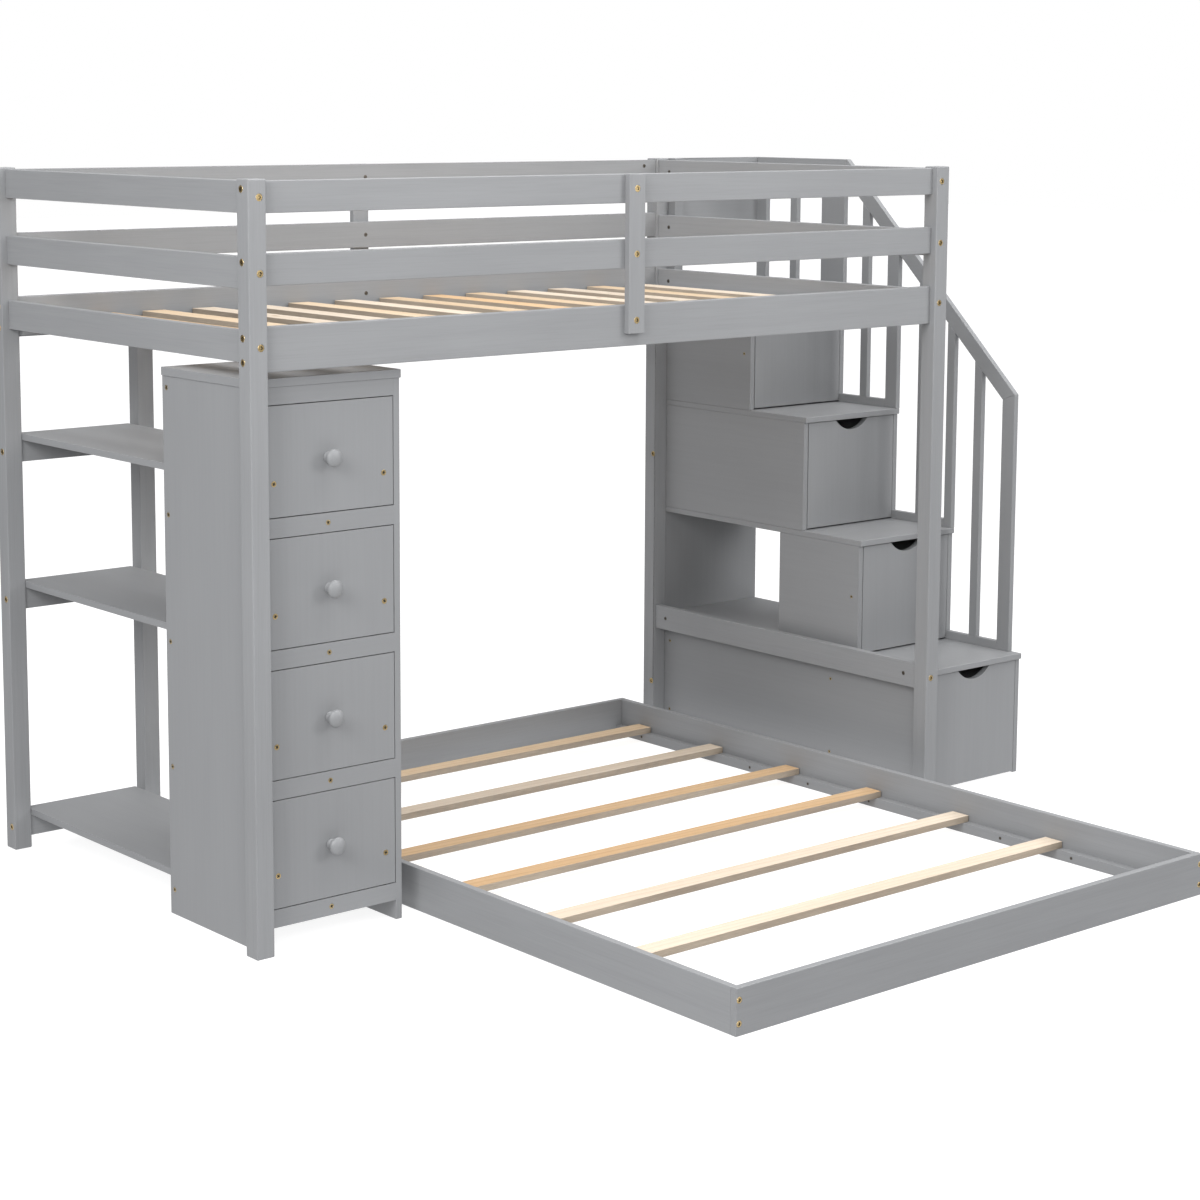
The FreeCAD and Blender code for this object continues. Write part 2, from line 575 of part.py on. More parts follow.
def outline(sketch, corners):
    """A closed outline whose every corner is held by its own two formulas."""
    count = len(corners)
    for index in range(count):
        start = V(100 * index, 100 * (index % 3), 0)
        end = V(100 * ((index + 1) % count), 100 * ((index + 1) % count % 3), 0)
        sketch.addGeometry(Part.LineSegment(start, end), False)
    for index in range(count):
        sketch.addConstraint(Sketcher.Constraint("Coincident", index, 2, (index + 1) % count, 1))
    for index, corner in enumerate(corners):
        for kind, letter, formula in (("DistanceX", "across", corner[0]),
                                      ("DistanceY", "up", corner[1])):
            at = sketch.addConstraint(Sketcher.Constraint(kind, -1, 1, index, 1, 100.0 + index))
            name = "%s_%d" % (letter, index)
            sketch.renameConstraint(at, name)
            sketch.setExpression("Constraints." + name, bound(formula))


def upright_body(name, corners, x, thickness):
    """A flat piece standing in the y-z plane, drawn by its corners (y, z)."""
    body = doc.addObject("PartDesign::Body", name)
    sketch = body.newObject("Sketcher::SketchObject", name + "_outline")
    sketch.AttachmentSupport = [(origin_plane(body, "YZ_Plane"), "")]
    sketch.MapMode = "FlatFace"
    outline(sketch, corners)
    pad = body.newObject("PartDesign::Pad", name + "_pad")
    pad.Profile = sketch
    pad.setExpression("Length", bound(thickness))
    sketch.Visibility = False
    body.Tip = pad
    return place(body, x, "0", "0")


# ---------------------------------------------------------------- stair boxes and treads
STAIR_LEFT = "loft_length"
STAIR_RIGHT = "(loft_length + stair_width - stair_panel)"
STAIR_INSIDE = "(loft_length + stair_panel)"
STAIR_OPENING = "(stair_width - 2 * stair_panel)"
BOX_FLOORS = ("0",) + TREAD_TOPS[:3]
BOX_BACKS = (STAIR_BACK, "(step_two_front + step_two_depth)", STAIR_BACK, STAIR_BACK)

stair_screws = (
    ("base_front_high", "base_side", "(base_front + base_screw_front)", "panel_screw_high"),
    ("base_front_low", "base_side", "(base_front + base_screw_front)", "panel_screw_low"),
    ("base_back_high", "base_side", "(%s - base_screw_back)" % STAIR_BACK, "panel_screw_high"),
    ("base_back_low", "base_side", "(%s - base_screw_back)" % STAIR_BACK, "panel_screw_low"),
    ("step_2", "step_2_side", "(%s + panel_screw_edge)" % STEP_FRONTS[1],
     "((%s + %s) / 2)" % (TREAD_TOPS[0], TREAD_TOPS[1])),
    ("step_4", "step_4_side", "(%s + panel_screw_edge)" % STEP_FRONTS[3],
     "((%s + %s) / 2)" % (TREAD_TOPS[2], TREAD_TOPS[3])),
)
for name, family, y, z in stair_screws:
    for end, way, x in (("left", "+x", STAIR_LEFT), ("right", "-x", "(loft_length + stair_width)")):
        add_bolt("stair_%s_%s" % (name, end), way, x, y, z, "(stair_panel - blind_end)",
                 ("%s_%s" % (family, end),), STAIR_SCREW, screws)

inner_panels = []
for index in range(STEPS):
    front = STEP_FRONTS[index]
    floor_z = BOX_FLOORS[index]
    height = "(%s - tread_thick - %s)" % (TREAD_TOPS[index], floor_z)
    depth = "(%s - %s)" % (BOX_BACKS[index], front)
    family = "base_side" if index == 0 else "step_%d_side" % (index + 1)
    pieces = []
    for end, x in (("left", STAIR_LEFT), ("right", STAIR_RIGHT)):
        name = "%s_%s" % (family, end)
        panel = board(name + "_blank", x, front, floor_z, "stair_panel", depth, height)
        if name in bores:
            panel = cut(name, panel, bores[name])
        pieces.append(panel)
    label = "base_sides" if index == 0 else "step_%d_sides" % (index + 1)
    keep(group(label, pieces), label)
    inner_panels.append(board("stair_back_%d" % (index + 1), STAIR_INSIDE,
                              "(%s - stair_back_thick)" % BOX_BACKS[index], floor_z,
                              STAIR_OPENING, "stair_back_thick", height))
    label = "tread_%d" % (index + 1)
    keep(board(label, STAIR_LEFT, "(%s - nosing)" % front, "(%s - tread_thick)" % TREAD_TOPS[index],
               "stair_width", "(%s - %s + nosing)" % (STAIR_BACK, front), "tread_thick"), label)

inner_panels.append(board("base_floor", STAIR_INSIDE,
                          "(base_front + front_thick + front_reveal)", "base_floor_gap",
                          STAIR_OPENING, "(%s - stair_back_thick - base_front - front_thick"
                          " - front_reveal)" % STAIR_BACK, "tread_thick"))
inner_panels.append(board("cubby_back", STAIR_LEFT, "(%s - stair_back_thick)" % STAIR_BACK,
                          "base_height", "stair_width", "stair_back_thick",
                          "(%s - tread_thick - base_height)" % TREAD_TOPS[1]))
keep(group("stair_inner_boards", inner_panels), "stair_inner_boards")

BASE_FLOOR_TOP = "(base_floor_gap + tread_thick)"

# ---------------------------------------------------------------- stair drawers
NOTCH_RADIUS = "((notch_width * notch_width / 4 + notch_depth * notch_depth) / (2 * notch_depth))"


def notched_front(name, x, y, z, width, height):
    """A drawer front with a shallow round finger cut-out in its top edge."""
    body = doc.addObject("PartDesign::Body", name)
    sketch = body.newObject("Sketcher::SketchObject", name + "_outline")
    sketch.AttachmentSupport = [(origin_plane(body, "XZ_Plane"), "")]
    sketch.MapMode = "FlatFace"
    outline(sketch, (("0", "0"), (width, "0"), (width, height), ("0", height)))
    pad = body.newObject("PartDesign::Pad", name + "_pad")
    pad.Profile = sketch
    pad.setExpression("Length", bound("front_thick"))
    pad.Reversed = True
    ring = body.newObject("Sketcher::SketchObject", name + "_ring")
    ring.AttachmentSupport = [(origin_plane(body, "XZ_Plane"), "")]
    ring.MapMode = "FlatFace"
    ring.addGeometry(Part.Circle(V(150, 300, 0), V(0, 0, 1), 70), False)
    for kind, args, formula in (
            ("DistanceX", (-1, 1, 0, 3, 150.0), "%s / 2" % width),
            ("DistanceY", (-1, 1, 0, 3, 300.0), "%s + %s - notch_depth" % (height, NOTCH_RADIUS)),
            ("Radius", (0, 70.0), NOTCH_RADIUS)):
        at = ring.addConstraint(Sketcher.Constraint(kind, *args))
        ring.renameConstraint(at, "notch_" + kind)
        ring.setExpression("Constraints.notch_" + kind, bound(formula))
    doc.recompute()
    before = pad.Shape.Volume
    pocket = body.newObject("PartDesign::Pocket", name + "_notch")
    pocket.Profile = ring
    pocket.Type = 1
    pocket.Reversed = False
    doc.recompute()
    if before - pocket.Shape.Volume < LEAST_CUTOUT:
        pocket.Reversed = True
        doc.recompute()
    if before - pocket.Shape.Volume < LEAST_CUTOUT:
        raise RuntimeError("%s has no finger cut-out" % name)
    body.Tip = pocket
    return place(body, x, y, z)


DRAWER_FLOORS = (BASE_FLOOR_TOP,) + TREAD_TOPS[:3]
for index in range(STEPS):
    label = "stair_drawer_%d" % (index + 1)
    front = STEP_FRONTS[index]
    front_z = "(%s + front_drop_gap)" % BOX_FLOORS[index]
    top_z = "(%s - tread_thick - front_reveal)" % TREAD_TOPS[index]
    depth = "(%s - %s - stair_back_thick - box_back_gap)" % (BOX_BACKS[index], front)
    if index == 0:
        depth = "base_drawer_depth"
    face = notched_front(label + "_front", "(%s + front_reveal)" % STAIR_INSIDE, front, front_z,
                         "(%s - 2 * front_reveal)" % STAIR_OPENING,
                         "(%s - %s)" % (top_z, front_z))
    pieces = drawer_box(label, STAIR_INSIDE, front, DRAWER_FLOORS[index], STAIR_OPENING,
                        depth, "stair_box_height")
    keep(group(label, [face] + pieces), label)

# ---------------------------------------------------------------- stair guard
GUARD_X = STAIR_RIGHT
CORNER_Y = "(%s - guard_corner_lead)" % STEP_FRONTS[3]
END_TOP = "(base_height + guard_end_height)"
SLOPE = "((loft_height - %s) / (%s - guard_end_front))" % (END_TOP, CORNER_Y)
DEPTH_DROP = "(guard_rail_width * sqrt(1 + %s * %s))" % (SLOPE, SLOPE)
RAIL_UNDER = "(loft_height - guard_rail_width)"


def handrail_under(y):
    """Height of the underside of the sloped handrail."""
    return "(%s + %s * (%s - guard_end_front) - %s)" % (END_TOP, SLOPE, y, DEPTH_DROP)


END_BACK = "(guard_end_front + guard_post_width)"
MITRE_Y = "(%s + (%s - guard_rail_width) / %s)" % (CORNER_Y, DEPTH_DROP, SLOPE)
GUARD_BACK = "(%s - stair_panel)" % STAIR_BACK

end_post = upright_body("guard_end_post", (
    ("guard_end_front", "base_height"),
    (END_BACK, "base_height"),
    (END_BACK, handrail_under(END_BACK)),
    ("guard_end_front", END_TOP)), GUARD_X, "stair_panel")
keep(end_post, "guard_end_post")

handrail = upright_body("guard_handrail", (
    ("guard_end_front", END_TOP),
    (END_BACK, handrail_under(END_BACK)),
    (MITRE_Y, RAIL_UNDER),
    (CORNER_Y, "loft_height")), GUARD_X, "stair_panel")
keep(handrail, "guard_handrail")

top_rail = upright_body("guard_top_rail", (
    (CORNER_Y, "loft_height"),
    (MITRE_Y, RAIL_UNDER),
    (GUARD_BACK, RAIL_UNDER),
    (GUARD_BACK, "loft_height")), GUARD_X, "stair_panel")
keep(top_rail, "guard_top_rail")

NOSE_TWO = "(%s - nosing)" % STEP_FRONTS[1]
NOSE_THREE = "(%s - nosing)" % STEP_FRONTS[2]
NOSE_FOUR = "(%s - nosing)" % STEP_FRONTS[3]


def sloped_piece(name, y, width, foot):
    """A baluster or post that ends on the underside of the handrail."""
    far = "(%s + %s)" % (y, width)
    return upright_body(name, ((y, foot), (far, foot), (far, handrail_under(far)),
                               (y, handrail_under(y))), GUARD_X, "stair_panel")


CORNER_POST_BACK = "(%s + corner_post_width)" % NOSE_FOUR
corner_post = upright_body("guard_corner_post", (
    (NOSE_FOUR, LANDING),
    (CORNER_POST_BACK, LANDING),
    (CORNER_POST_BACK, RAIL_UNDER),
    (MITRE_Y, RAIL_UNDER),
    (NOSE_FOUR, handrail_under(NOSE_FOUR))), GUARD_X, "stair_panel")
BACK_POST_FRONT = "(%s - back_post_width)" % GUARD_BACK
back_post = board("guard_back_post", GUARD_X, BACK_POST_FRONT, LANDING, "stair_panel",
                  "back_post_width", "(%s - %s)" % (RAIL_UNDER, LANDING))
third_post = sloped_piece("guard_third_post", NOSE_THREE, "guard_post_width", TREAD_TOPS[2])
second_post = sloped_piece("guard_second_post", NOSE_TWO, "baluster_width", TREAD_TOPS[1])
keep(group("guard_posts", [second_post, third_post, corner_post, back_post]), "guard_posts")

foot_runs = (
    ("first", END_BACK, STEP_FRONTS[1], TREAD_TOPS[0]),
    ("second", "(%s + baluster_width)" % NOSE_TWO, STEP_FRONTS[2], TREAD_TOPS[1]),
    ("third", "(%s + guard_post_width)" % NOSE_THREE, STEP_FRONTS[3], TREAD_TOPS[2]),
    ("landing", CORNER_POST_BACK, BACK_POST_FRONT, LANDING),
)
foot_rails = []
for name, start, stop, tread in foot_runs:
    foot_rails.append(board("foot_rail_" + name, GUARD_X, start, tread, "stair_panel",
                            "(%s - %s)" % (stop, start), "foot_rail_height"))
keep(group("guard_foot_rails", foot_rails), "guard_foot_rails")

baluster_middles = (
    ("first", "((%s + %s) / 2)" % (END_BACK, NOSE_TWO), TREAD_TOPS[0]),
    ("second", "((%s + baluster_width + %s) / 2)" % (NOSE_TWO, NOSE_THREE), TREAD_TOPS[1]),
    ("third", "((%s + guard_post_width + %s) / 2)" % (NOSE_THREE, NOSE_FOUR), TREAD_TOPS[2]),
)
balusters = []
for name, middle, tread in baluster_middles:
    balusters.append(sloped_piece("baluster_" + name, "(%s - baluster_width / 2)" % middle,
                                  "baluster_width", "(%s + foot_rail_height)" % tread))
landing_middle = "((%s + %s) / 2)" % (CORNER_POST_BACK, BACK_POST_FRONT)
balusters.append(board("baluster_landing", GUARD_X, "(%s - baluster_width / 2)" % landing_middle,
                       "(%s + foot_rail_height)" % LANDING, "stair_panel", "baluster_width",
                       "(%s - %s - foot_rail_height)" % (RAIL_UNDER, LANDING)))
keep(group("guard_balusters", balusters), "guard_balusters")

landing_board = board("landing_board", STAIR_LEFT, GUARD_BACK, "(loft_height - landing_board_width)",
                      "stair_width", "stair_panel", "landing_board_width")
stile = board("landing_stile", STAIR_LEFT, "(%s - landing_stile_side)" % GUARD_BACK, LANDING,
              "landing_stile_side", "landing_stile_side", "(loft_height - %s)" % LANDING)
keep(group("landing_back", [landing_board, stile]), "landing_back")

# ---------------------------------------------------------------- floor bed
BED_LEFT = "(chest_left + chest_width + bed_gap_chest)"
BED_WIDTH = "(%s - bed_gap_post - %s)" % (RIGHT_POST, BED_LEFT)
BED_RIGHT = "(%s - bed_gap_post)" % RIGHT_POST
BED_INNER_FRONT = "(%s + bed_rail_thick)" % BED_FRONT
BED_INNER_RUN = "(bed_length - 2 * bed_rail_thick)"
BED_AXIS = "(bed_rail_thick / 2)"
bed_bolts = []
for side, way, y in (("front", "+y", BED_FRONT), ("back", "-y", BED_BACK)):
    for end, x in (("left", "(%s + %s)" % (BED_LEFT, BED_AXIS)),
                   ("right", "(%s - %s)" % (BED_RIGHT, BED_AXIS))):
        for level, sign in (("high", "+"), ("low", "-")):
            add_bolt("bed_%s_%s_%s" % (side, end, level), way, x, y,
                     "(bed_height / 2 %s bed_bolt_rise)" % sign, "bed_bolt_length",
                     ("bed_end_" + side, "bed_side_" + end), BED_BOLT, bed_bolts)

pieces = []
for end, x in (("left", BED_LEFT), ("right", "(%s - bed_rail_thick)" % BED_RIGHT)):
    name = "bed_side_" + end
    blank = board(name + "_blank", x, BED_INNER_FRONT, "0",
                  "bed_rail_thick", BED_INNER_RUN, "bed_height")
    pieces.append(cut(name, blank, bores[name]))
keep(group("floor_bed_sides", pieces), "floor_bed_sides")

pieces = []
for side, y in (("front", BED_FRONT), ("back", "(%s - bed_rail_thick)" % BED_BACK)):
    name = "bed_end_" + side
    blank = board(name + "_blank", BED_LEFT, y, "0", BED_WIDTH, "bed_rail_thick", "bed_height")
    pieces.append(cut(name, blank, bores[name]))
keep(group("floor_bed_ends", pieces), "floor_bed_ends")

BED_INNER_LEFT = "(%s + bed_rail_thick)" % BED_LEFT
pieces = []
for end, x in (("left", BED_INNER_LEFT),
               ("right", "(%s - bed_rail_thick - bed_ledger_side)" % BED_RIGHT)):
    pieces.append(board("bed_ledger_" + end, x, BED_INNER_FRONT, "0",
                        "bed_ledger_side", BED_INNER_RUN, "bed_ledger_height"))
keep(group("floor_bed_ledgers", pieces), "floor_bed_ledgers")

pieces = []
for index in range(BED_SLATS):
    y = ("(%s - bed_rail_thick - bed_slat_start - bed_slat_width - %d * bed_slat_pitch)"
         % (BED_BACK, index))
    pieces.append(board("bed_slat_%d" % (index + 1), "(%s + slat_end_gap)" % BED_INNER_LEFT, y,
                        "bed_ledger_height",
                        "(%s - 2 * bed_rail_thick - 2 * slat_end_gap)" % BED_WIDTH,
                        "bed_slat_width", "bed_slat_thick"))
keep(group("floor_bed_slats", pieces), "floor_bed_slats")

keep(group("floor_bed_bolts", bed_bolts), "floor_bed_bolts")
keep(group("frame_bolts", bolts), "frame_bolts")
keep(group("panel_screws", screws), "panel_screws")
keep(group("barrel_nuts", nuts), "barrel_nuts")

# ---------------------------------------------------------------- build, check, write
doc.recompute()
for thing in doc.Objects:
    if "Invalid" in thing.State or "Error" in thing.State:
        raise RuntimeError("%s did not build: %s" % (thing.Name, thing.State))
os.makedirs("parts", exist_ok=True)
for label, thing in objects.items():
    shape = thing.Shape
    if shape.isNull() or not shape.isValid() or not shape.Solids:
        raise RuntimeError("%s has no valid solid" % label)
    shape.exportStep("parts/%s.step" % label)
print("%d nodes, %d solids" % (len(objects), sum(len(o.Shape.Solids) for o in objects.values())))
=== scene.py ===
"""Looks for the grey painted loft bed: paint, pine, plated fasteners, light and camera."""
import math
import random

import bmesh
import bpy
from mathutils import Matrix, Vector


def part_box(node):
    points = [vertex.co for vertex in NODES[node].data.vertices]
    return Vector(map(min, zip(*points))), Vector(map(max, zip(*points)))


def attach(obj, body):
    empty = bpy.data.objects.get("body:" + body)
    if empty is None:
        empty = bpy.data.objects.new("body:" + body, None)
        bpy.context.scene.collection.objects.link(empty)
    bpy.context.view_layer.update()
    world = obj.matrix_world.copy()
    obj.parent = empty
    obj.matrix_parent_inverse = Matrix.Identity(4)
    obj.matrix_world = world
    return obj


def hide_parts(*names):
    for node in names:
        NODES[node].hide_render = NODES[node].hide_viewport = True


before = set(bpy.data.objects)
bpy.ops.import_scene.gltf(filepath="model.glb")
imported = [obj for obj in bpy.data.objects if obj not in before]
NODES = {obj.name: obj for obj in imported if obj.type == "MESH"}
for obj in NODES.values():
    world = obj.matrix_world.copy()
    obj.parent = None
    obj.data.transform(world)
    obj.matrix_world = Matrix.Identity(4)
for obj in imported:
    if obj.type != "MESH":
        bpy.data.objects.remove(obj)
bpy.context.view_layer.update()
MM = 0.001


# ---------------------------------------------------------------- node helpers
PIECE_SHIFT = (17.0, 29.0, 23.0)  # furthest a texture is shifted from one piece to the next, m


class Shader:
    """A material with a Principled surface and short calls for its texture nodes."""

    def __init__(self, name):
        self.material = bpy.data.materials.new(name)
        self.material.use_nodes = True
        self.tree = self.material.node_tree
        self.surface = self.tree.nodes["Principled BSDF"]
        self.coords = self.tree.nodes.new("ShaderNodeTexCoord").outputs["Object"]
        self.chance = self.tree.nodes.new("ShaderNodeObjectInfo").outputs["Random"]

    def add(self, kind, **settings):
        node = self.tree.nodes.new("ShaderNode" + kind)
        for key, value in settings.items():
            setattr(node, key, value)
        return node

    def link(self, source, target):
        self.tree.links.new(source, target)

    def set(self, **values):
        for key, value in values.items():
            self.surface.inputs[key.replace("_", " ")].default_value = value

    def moved(self, scale):
        """Object coordinates, scaled, and shifted by a different amount on each piece."""
        shift = self.add("VectorMath", operation="ADD")
        self.link(self.coords, shift.inputs[0])
        spread = self.add("VectorMath", operation="SCALE")
        spread.inputs[0].default_value = PIECE_SHIFT
        self.link(self.chance, spread.inputs["Scale"])
        self.link(spread.outputs[0], shift.inputs[1])
        place = self.add("Mapping")
        place.inputs["Scale"].default_value = scale
        self.link(shift.outputs[0], place.inputs["Vector"])
        return place.outputs["Vector"]

    def noise(self, vector, scale, detail=3.0, roughness=0.5, distortion=0.0):
        node = self.add("TexNoise")
        node.inputs["Scale"].default_value = scale
        node.inputs["Detail"].default_value = detail
        node.inputs["Roughness"].default_value = roughness
        node.inputs["Distortion"].default_value = distortion
        self.link(vector, node.inputs["Vector"])
        return node.outputs["Fac"]

    def ramp(self, value, *stops):
        node = self.add("ValToRGB")
        elements = node.color_ramp.elements
        while len(elements) < len(stops):
            elements.new(0.5)
        for element, (position, colour) in zip(elements, stops):
            element.position = position
            channels = colour if hasattr(colour, "__len__") else (colour,) * 3
            element.color = (*channels, 1.0)
        self.link(value, node.inputs["Fac"])
        return node.outputs["Color"]

    def math(self, operation, first, second):
        node = self.add("Math", operation=operation)
        for socket, value in zip(node.inputs, (first, second)):
            if hasattr(value, "is_output"):
                self.link(value, socket)
            else:
                socket.default_value = value
        return node.outputs[0]

    def mix(self, blend, amount, first, second):
        """Mix two colours; amount is a number or a socket."""
        node = self.add("Mix", data_type="RGBA", blend_type=blend)
        factor, one, two = node.inputs[0], node.inputs[6], node.inputs[7]
        for socket, value in ((factor, amount), (one, first), (two, second)):
            if hasattr(value, "is_output"):
                self.link(value, socket)
            elif hasattr(value, "__len__"):
                socket.default_value = (*value, 1.0)
            else:
                socket.default_value = value
        return node.outputs[2]

    def bump(self, height, strength, distance):
        node = self.add("Bump")
        node.inputs["Strength"].default_value = strength
        node.inputs["Distance"].default_value = distance
        self.link(height, node.inputs["Height"])
        self.link(node.outputs["Normal"], self.surface.inputs["Normal"])


def along(axis, stretch):
    """Texture scale that is stretched along one axis."""
    return tuple(stretch if axis == letter else 1.0 for letter in "xyz")


# ---------------------------------------------------------------- materials
GREY = (0.262, 0.267, 0.274)
GREY_DARK = (0.246, 0.251, 0.258)


def painted_wood(axis):
    """Satin grey paint over planed pine: the grain still shows as fine lines along the board."""
    s = Shader("painted_wood_" + axis)
    fine = s.noise(s.moved(along(axis, 0.018)), 420.0, 4.0, 0.62)
    broad = s.noise(s.moved(along(axis, 0.05)), 46.0, 3.0, 0.55, 0.4)
    cloud = s.noise(s.moved((1.0, 1.0, 1.0)), 3.1, 2.0)
    tone = s.ramp(broad, (0.25, GREY_DARK), (0.60, GREY))
    lines = s.ramp(fine, (0.36, 0.93), (0.52, 1.0))
    colour = s.mix("MULTIPLY", 0.6, tone, lines)
    colour = s.mix("MULTIPLY", 0.6, colour, s.ramp(cloud, (0.3, 0.95), (0.7, 1.03)))
    piece = s.ramp(s.chance, (0.0, 0.97), (1.0, 1.02))
    s.link(s.mix("MULTIPLY", 1.0, colour, piece), s.surface.inputs["Base Color"])
    s.link(s.ramp(broad, (0.3, 0.50), (0.7, 0.40)), s.surface.inputs["Roughness"])
    s.bump(s.math("ADD", fine, s.math("MULTIPLY", broad, 0.5)), 0.10, 0.3 * MM)
    s.set(Specular_IOR_Level=0.42)
    return s.material


def painted_panel(axis):
    """The same paint over smooth board: faint roller texture and very soft streaks."""
    s = Shader("painted_panel_" + axis)
    streak = s.noise(s.moved(along(axis, 0.03)), 130.0, 3.0, 0.6)
    cloud = s.noise(s.moved(along(axis, 0.35)), 5.0, 2.0)
    peel = s.noise(s.moved((1.0, 1.0, 1.0)), 900.0, 2.0)
    tone = s.ramp(cloud, (0.28, GREY_DARK), (0.74, GREY))
    colour = s.mix("MULTIPLY", 0.7, tone, s.ramp(streak, (0.35, 0.965), (0.60, 1.0)))
    s.link(colour, s.surface.inputs["Base Color"])
    s.link(s.ramp(cloud, (0.3, 0.44), (0.7, 0.36)), s.surface.inputs["Roughness"])
    s.bump(s.math("ADD", peel, streak), 0.06, 0.25 * MM)
    s.set(Specular_IOR_Level=0.45)
    return s.material


PINE_TINTS = {  # heartwood, sapwood and ring line
    "pale": ((0.62, 0.52, 0.41), (0.71, 0.62, 0.51), (0.50, 0.37, 0.25)),
    "warm": ((0.60, 0.44, 0.28), (0.68, 0.54, 0.38), (0.44, 0.29, 0.16)),
    "amber": ((0.56, 0.36, 0.19), (0.64, 0.45, 0.27), (0.38, 0.22, 0.10)),
}


def bare_pine(axis, tint):
    """Planed pine: wavy growth rings cut lengthwise, a few knots, and pores."""
    heart, sap, ring_line = PINE_TINTS[tint]
    s = Shader("bare_pine_%s_%s" % (tint, axis))
    place = s.moved(along(axis, 0.045))
    drift = s.noise(place, 9.0, 3.0, 0.5)
    rings = s.add("TexWave", wave_type="BANDS", bands_direction="DIAGONAL", wave_profile="SAW")
    rings.inputs["Scale"].default_value = 34.0
    rings.inputs["Distortion"].default_value = 5.0
    rings.inputs["Detail"].default_value = 2.0
    rings.inputs["Detail Scale"].default_value = 0.8
    s.link(place, rings.inputs["Vector"])
    pores = s.noise(s.moved(along(axis, 0.02)), 900.0, 3.0, 0.6)
    body = s.mix("MIX", s.ramp(drift, (0.35, 0.0), (0.70, 1.0)), heart, sap)
    line = s.ramp(rings.outputs["Fac"], (0.0, 0.0), (0.62, 0.08), (0.94, 0.62), (1.0, 0.1))
    colour = s.mix("MIX", s.math("MULTIPLY", line, 0.6), body, ring_line)
    colour = s.mix("MULTIPLY", 0.6, colour, s.ramp(pores, (0.36, 0.86), (0.55, 1.0)))
    knots = s.add("TexVoronoi", feature="F1")
    knots.inputs["Scale"].default_value = 6.5
    s.link(s.moved(along(axis, 0.55)), knots.inputs["Vector"])
    knot = s.ramp(knots.outputs["Distance"], (0.0, 0.85), (0.035, 0.55), (0.06, 0.0), (1.0, 0.0))
    colour = s.mix("MIX", knot, colour, (0.30, 0.17, 0.08))
    piece = s.ramp(s.chance, (0.0, 0.93), (1.0, 1.05))
    s.link(s.mix("MULTIPLY", 1.0, colour, piece), s.surface.inputs["Base Color"])
    s.link(s.ramp(pores, (0.3, 0.68), (0.7, 0.55)), s.surface.inputs["Roughness"])
    s.bump(s.math("ADD", pores, s.math("MULTIPLY", line, 0.6)), 0.25, 0.4 * MM)
    s.set(Specular_IOR_Level=0.3)
    return s.material


def sawn_edge_painted_shade(axis):
    """The rougher sawn edge of a slat; its darker, greyer tone is painted shade on the slat's
    long sides.
    """
    s = Shader("sawn_pine_painted_shade_" + axis)
    fibres = s.noise(s.moved(along(axis, 0.03)), 700.0, 4.0, 0.65)
    patches = s.noise(s.moved(along(axis, 0.10)), 28.0, 3.0)
    # a darker, greyer tone than the pine: painted shade on the slat's sides, with real sawn
    # fibres and patches
    tone = s.ramp(patches, (0.3, (0.33, 0.27, 0.21)), (0.7, (0.44, 0.37, 0.29)))
    colour = s.mix("MULTIPLY", 1.0, tone, s.ramp(fibres, (0.3, 0.78), (0.65, 1.0)))
    s.link(colour, s.surface.inputs["Base Color"])
    s.link(s.ramp(fibres, (0.3, 0.85), (0.7, 0.7)), s.surface.inputs["Roughness"])
    s.bump(fibres, 0.4, 0.5 * MM)
    s.set(Specular_IOR_Level=0.2)
    return s.material


def plated(name, colour, roughness):
    """Zinc plating with fine turning marks and a slightly cloudy tint."""
    s = Shader(name)
    cloud = s.noise(s.coords, 420.0, 3.0)
    marks = s.noise(s.coords, 2600.0, 2.0)
    dull = tuple(channel * 0.72 for channel in colour)
    s.link(s.ramp(cloud, (0.3, dull), (0.7, colour)), s.surface.inputs["Base Color"])
    s.link(s.ramp(marks, (0.3, roughness - 0.08), (0.7, roughness + 0.1)),
           s.surface.inputs["Roughness"])
    s.bump(marks, 0.15, 0.08 * MM)
    s.set(Metallic=1.0)
    return s.material


def shadow_recess():
    """The dark inside of a socket or screw slot: painted shade, in an uneven dark tone."""
    s = Shader("fastener_recess_painted_shade")
    # near-black tone that paints the shade inside the recess, made uneven by noise
    recess_shade_noise = s.noise(s.coords, 1500.0, 2.0)
    s.link(s.ramp(recess_shade_noise, (0.3, (0.030, 0.026, 0.020)), (0.7, (0.075, 0.062, 0.042))),
           s.surface.inputs["Base Color"])
    s.set(Metallic=0.6, Roughness=0.55)
    return s.material


WOOD = {axis: painted_wood(axis) for axis in "xyz"}
PANEL = {axis: painted_panel(axis) for axis in "xyz"}
PINE = {(axis, tint): bare_pine(axis, tint) for axis in "xy" for tint in PINE_TINTS}
SAWN_WITH_SHADE = {axis: sawn_edge_painted_shade(axis) for axis in "xy"}
YELLOW_ZINC = plated("yellow_zinc", (0.80, 0.60, 0.30), 0.32)
DULL_ZINC = plated("dull_zinc", (0.66, 0.52, 0.29), 0.40)
DARK_STEEL = plated("dark_steel", (0.17, 0.15, 0.13), 0.42)
# RECESS paints shade on the inside of every socket and slot
RECESS = shadow_recess()

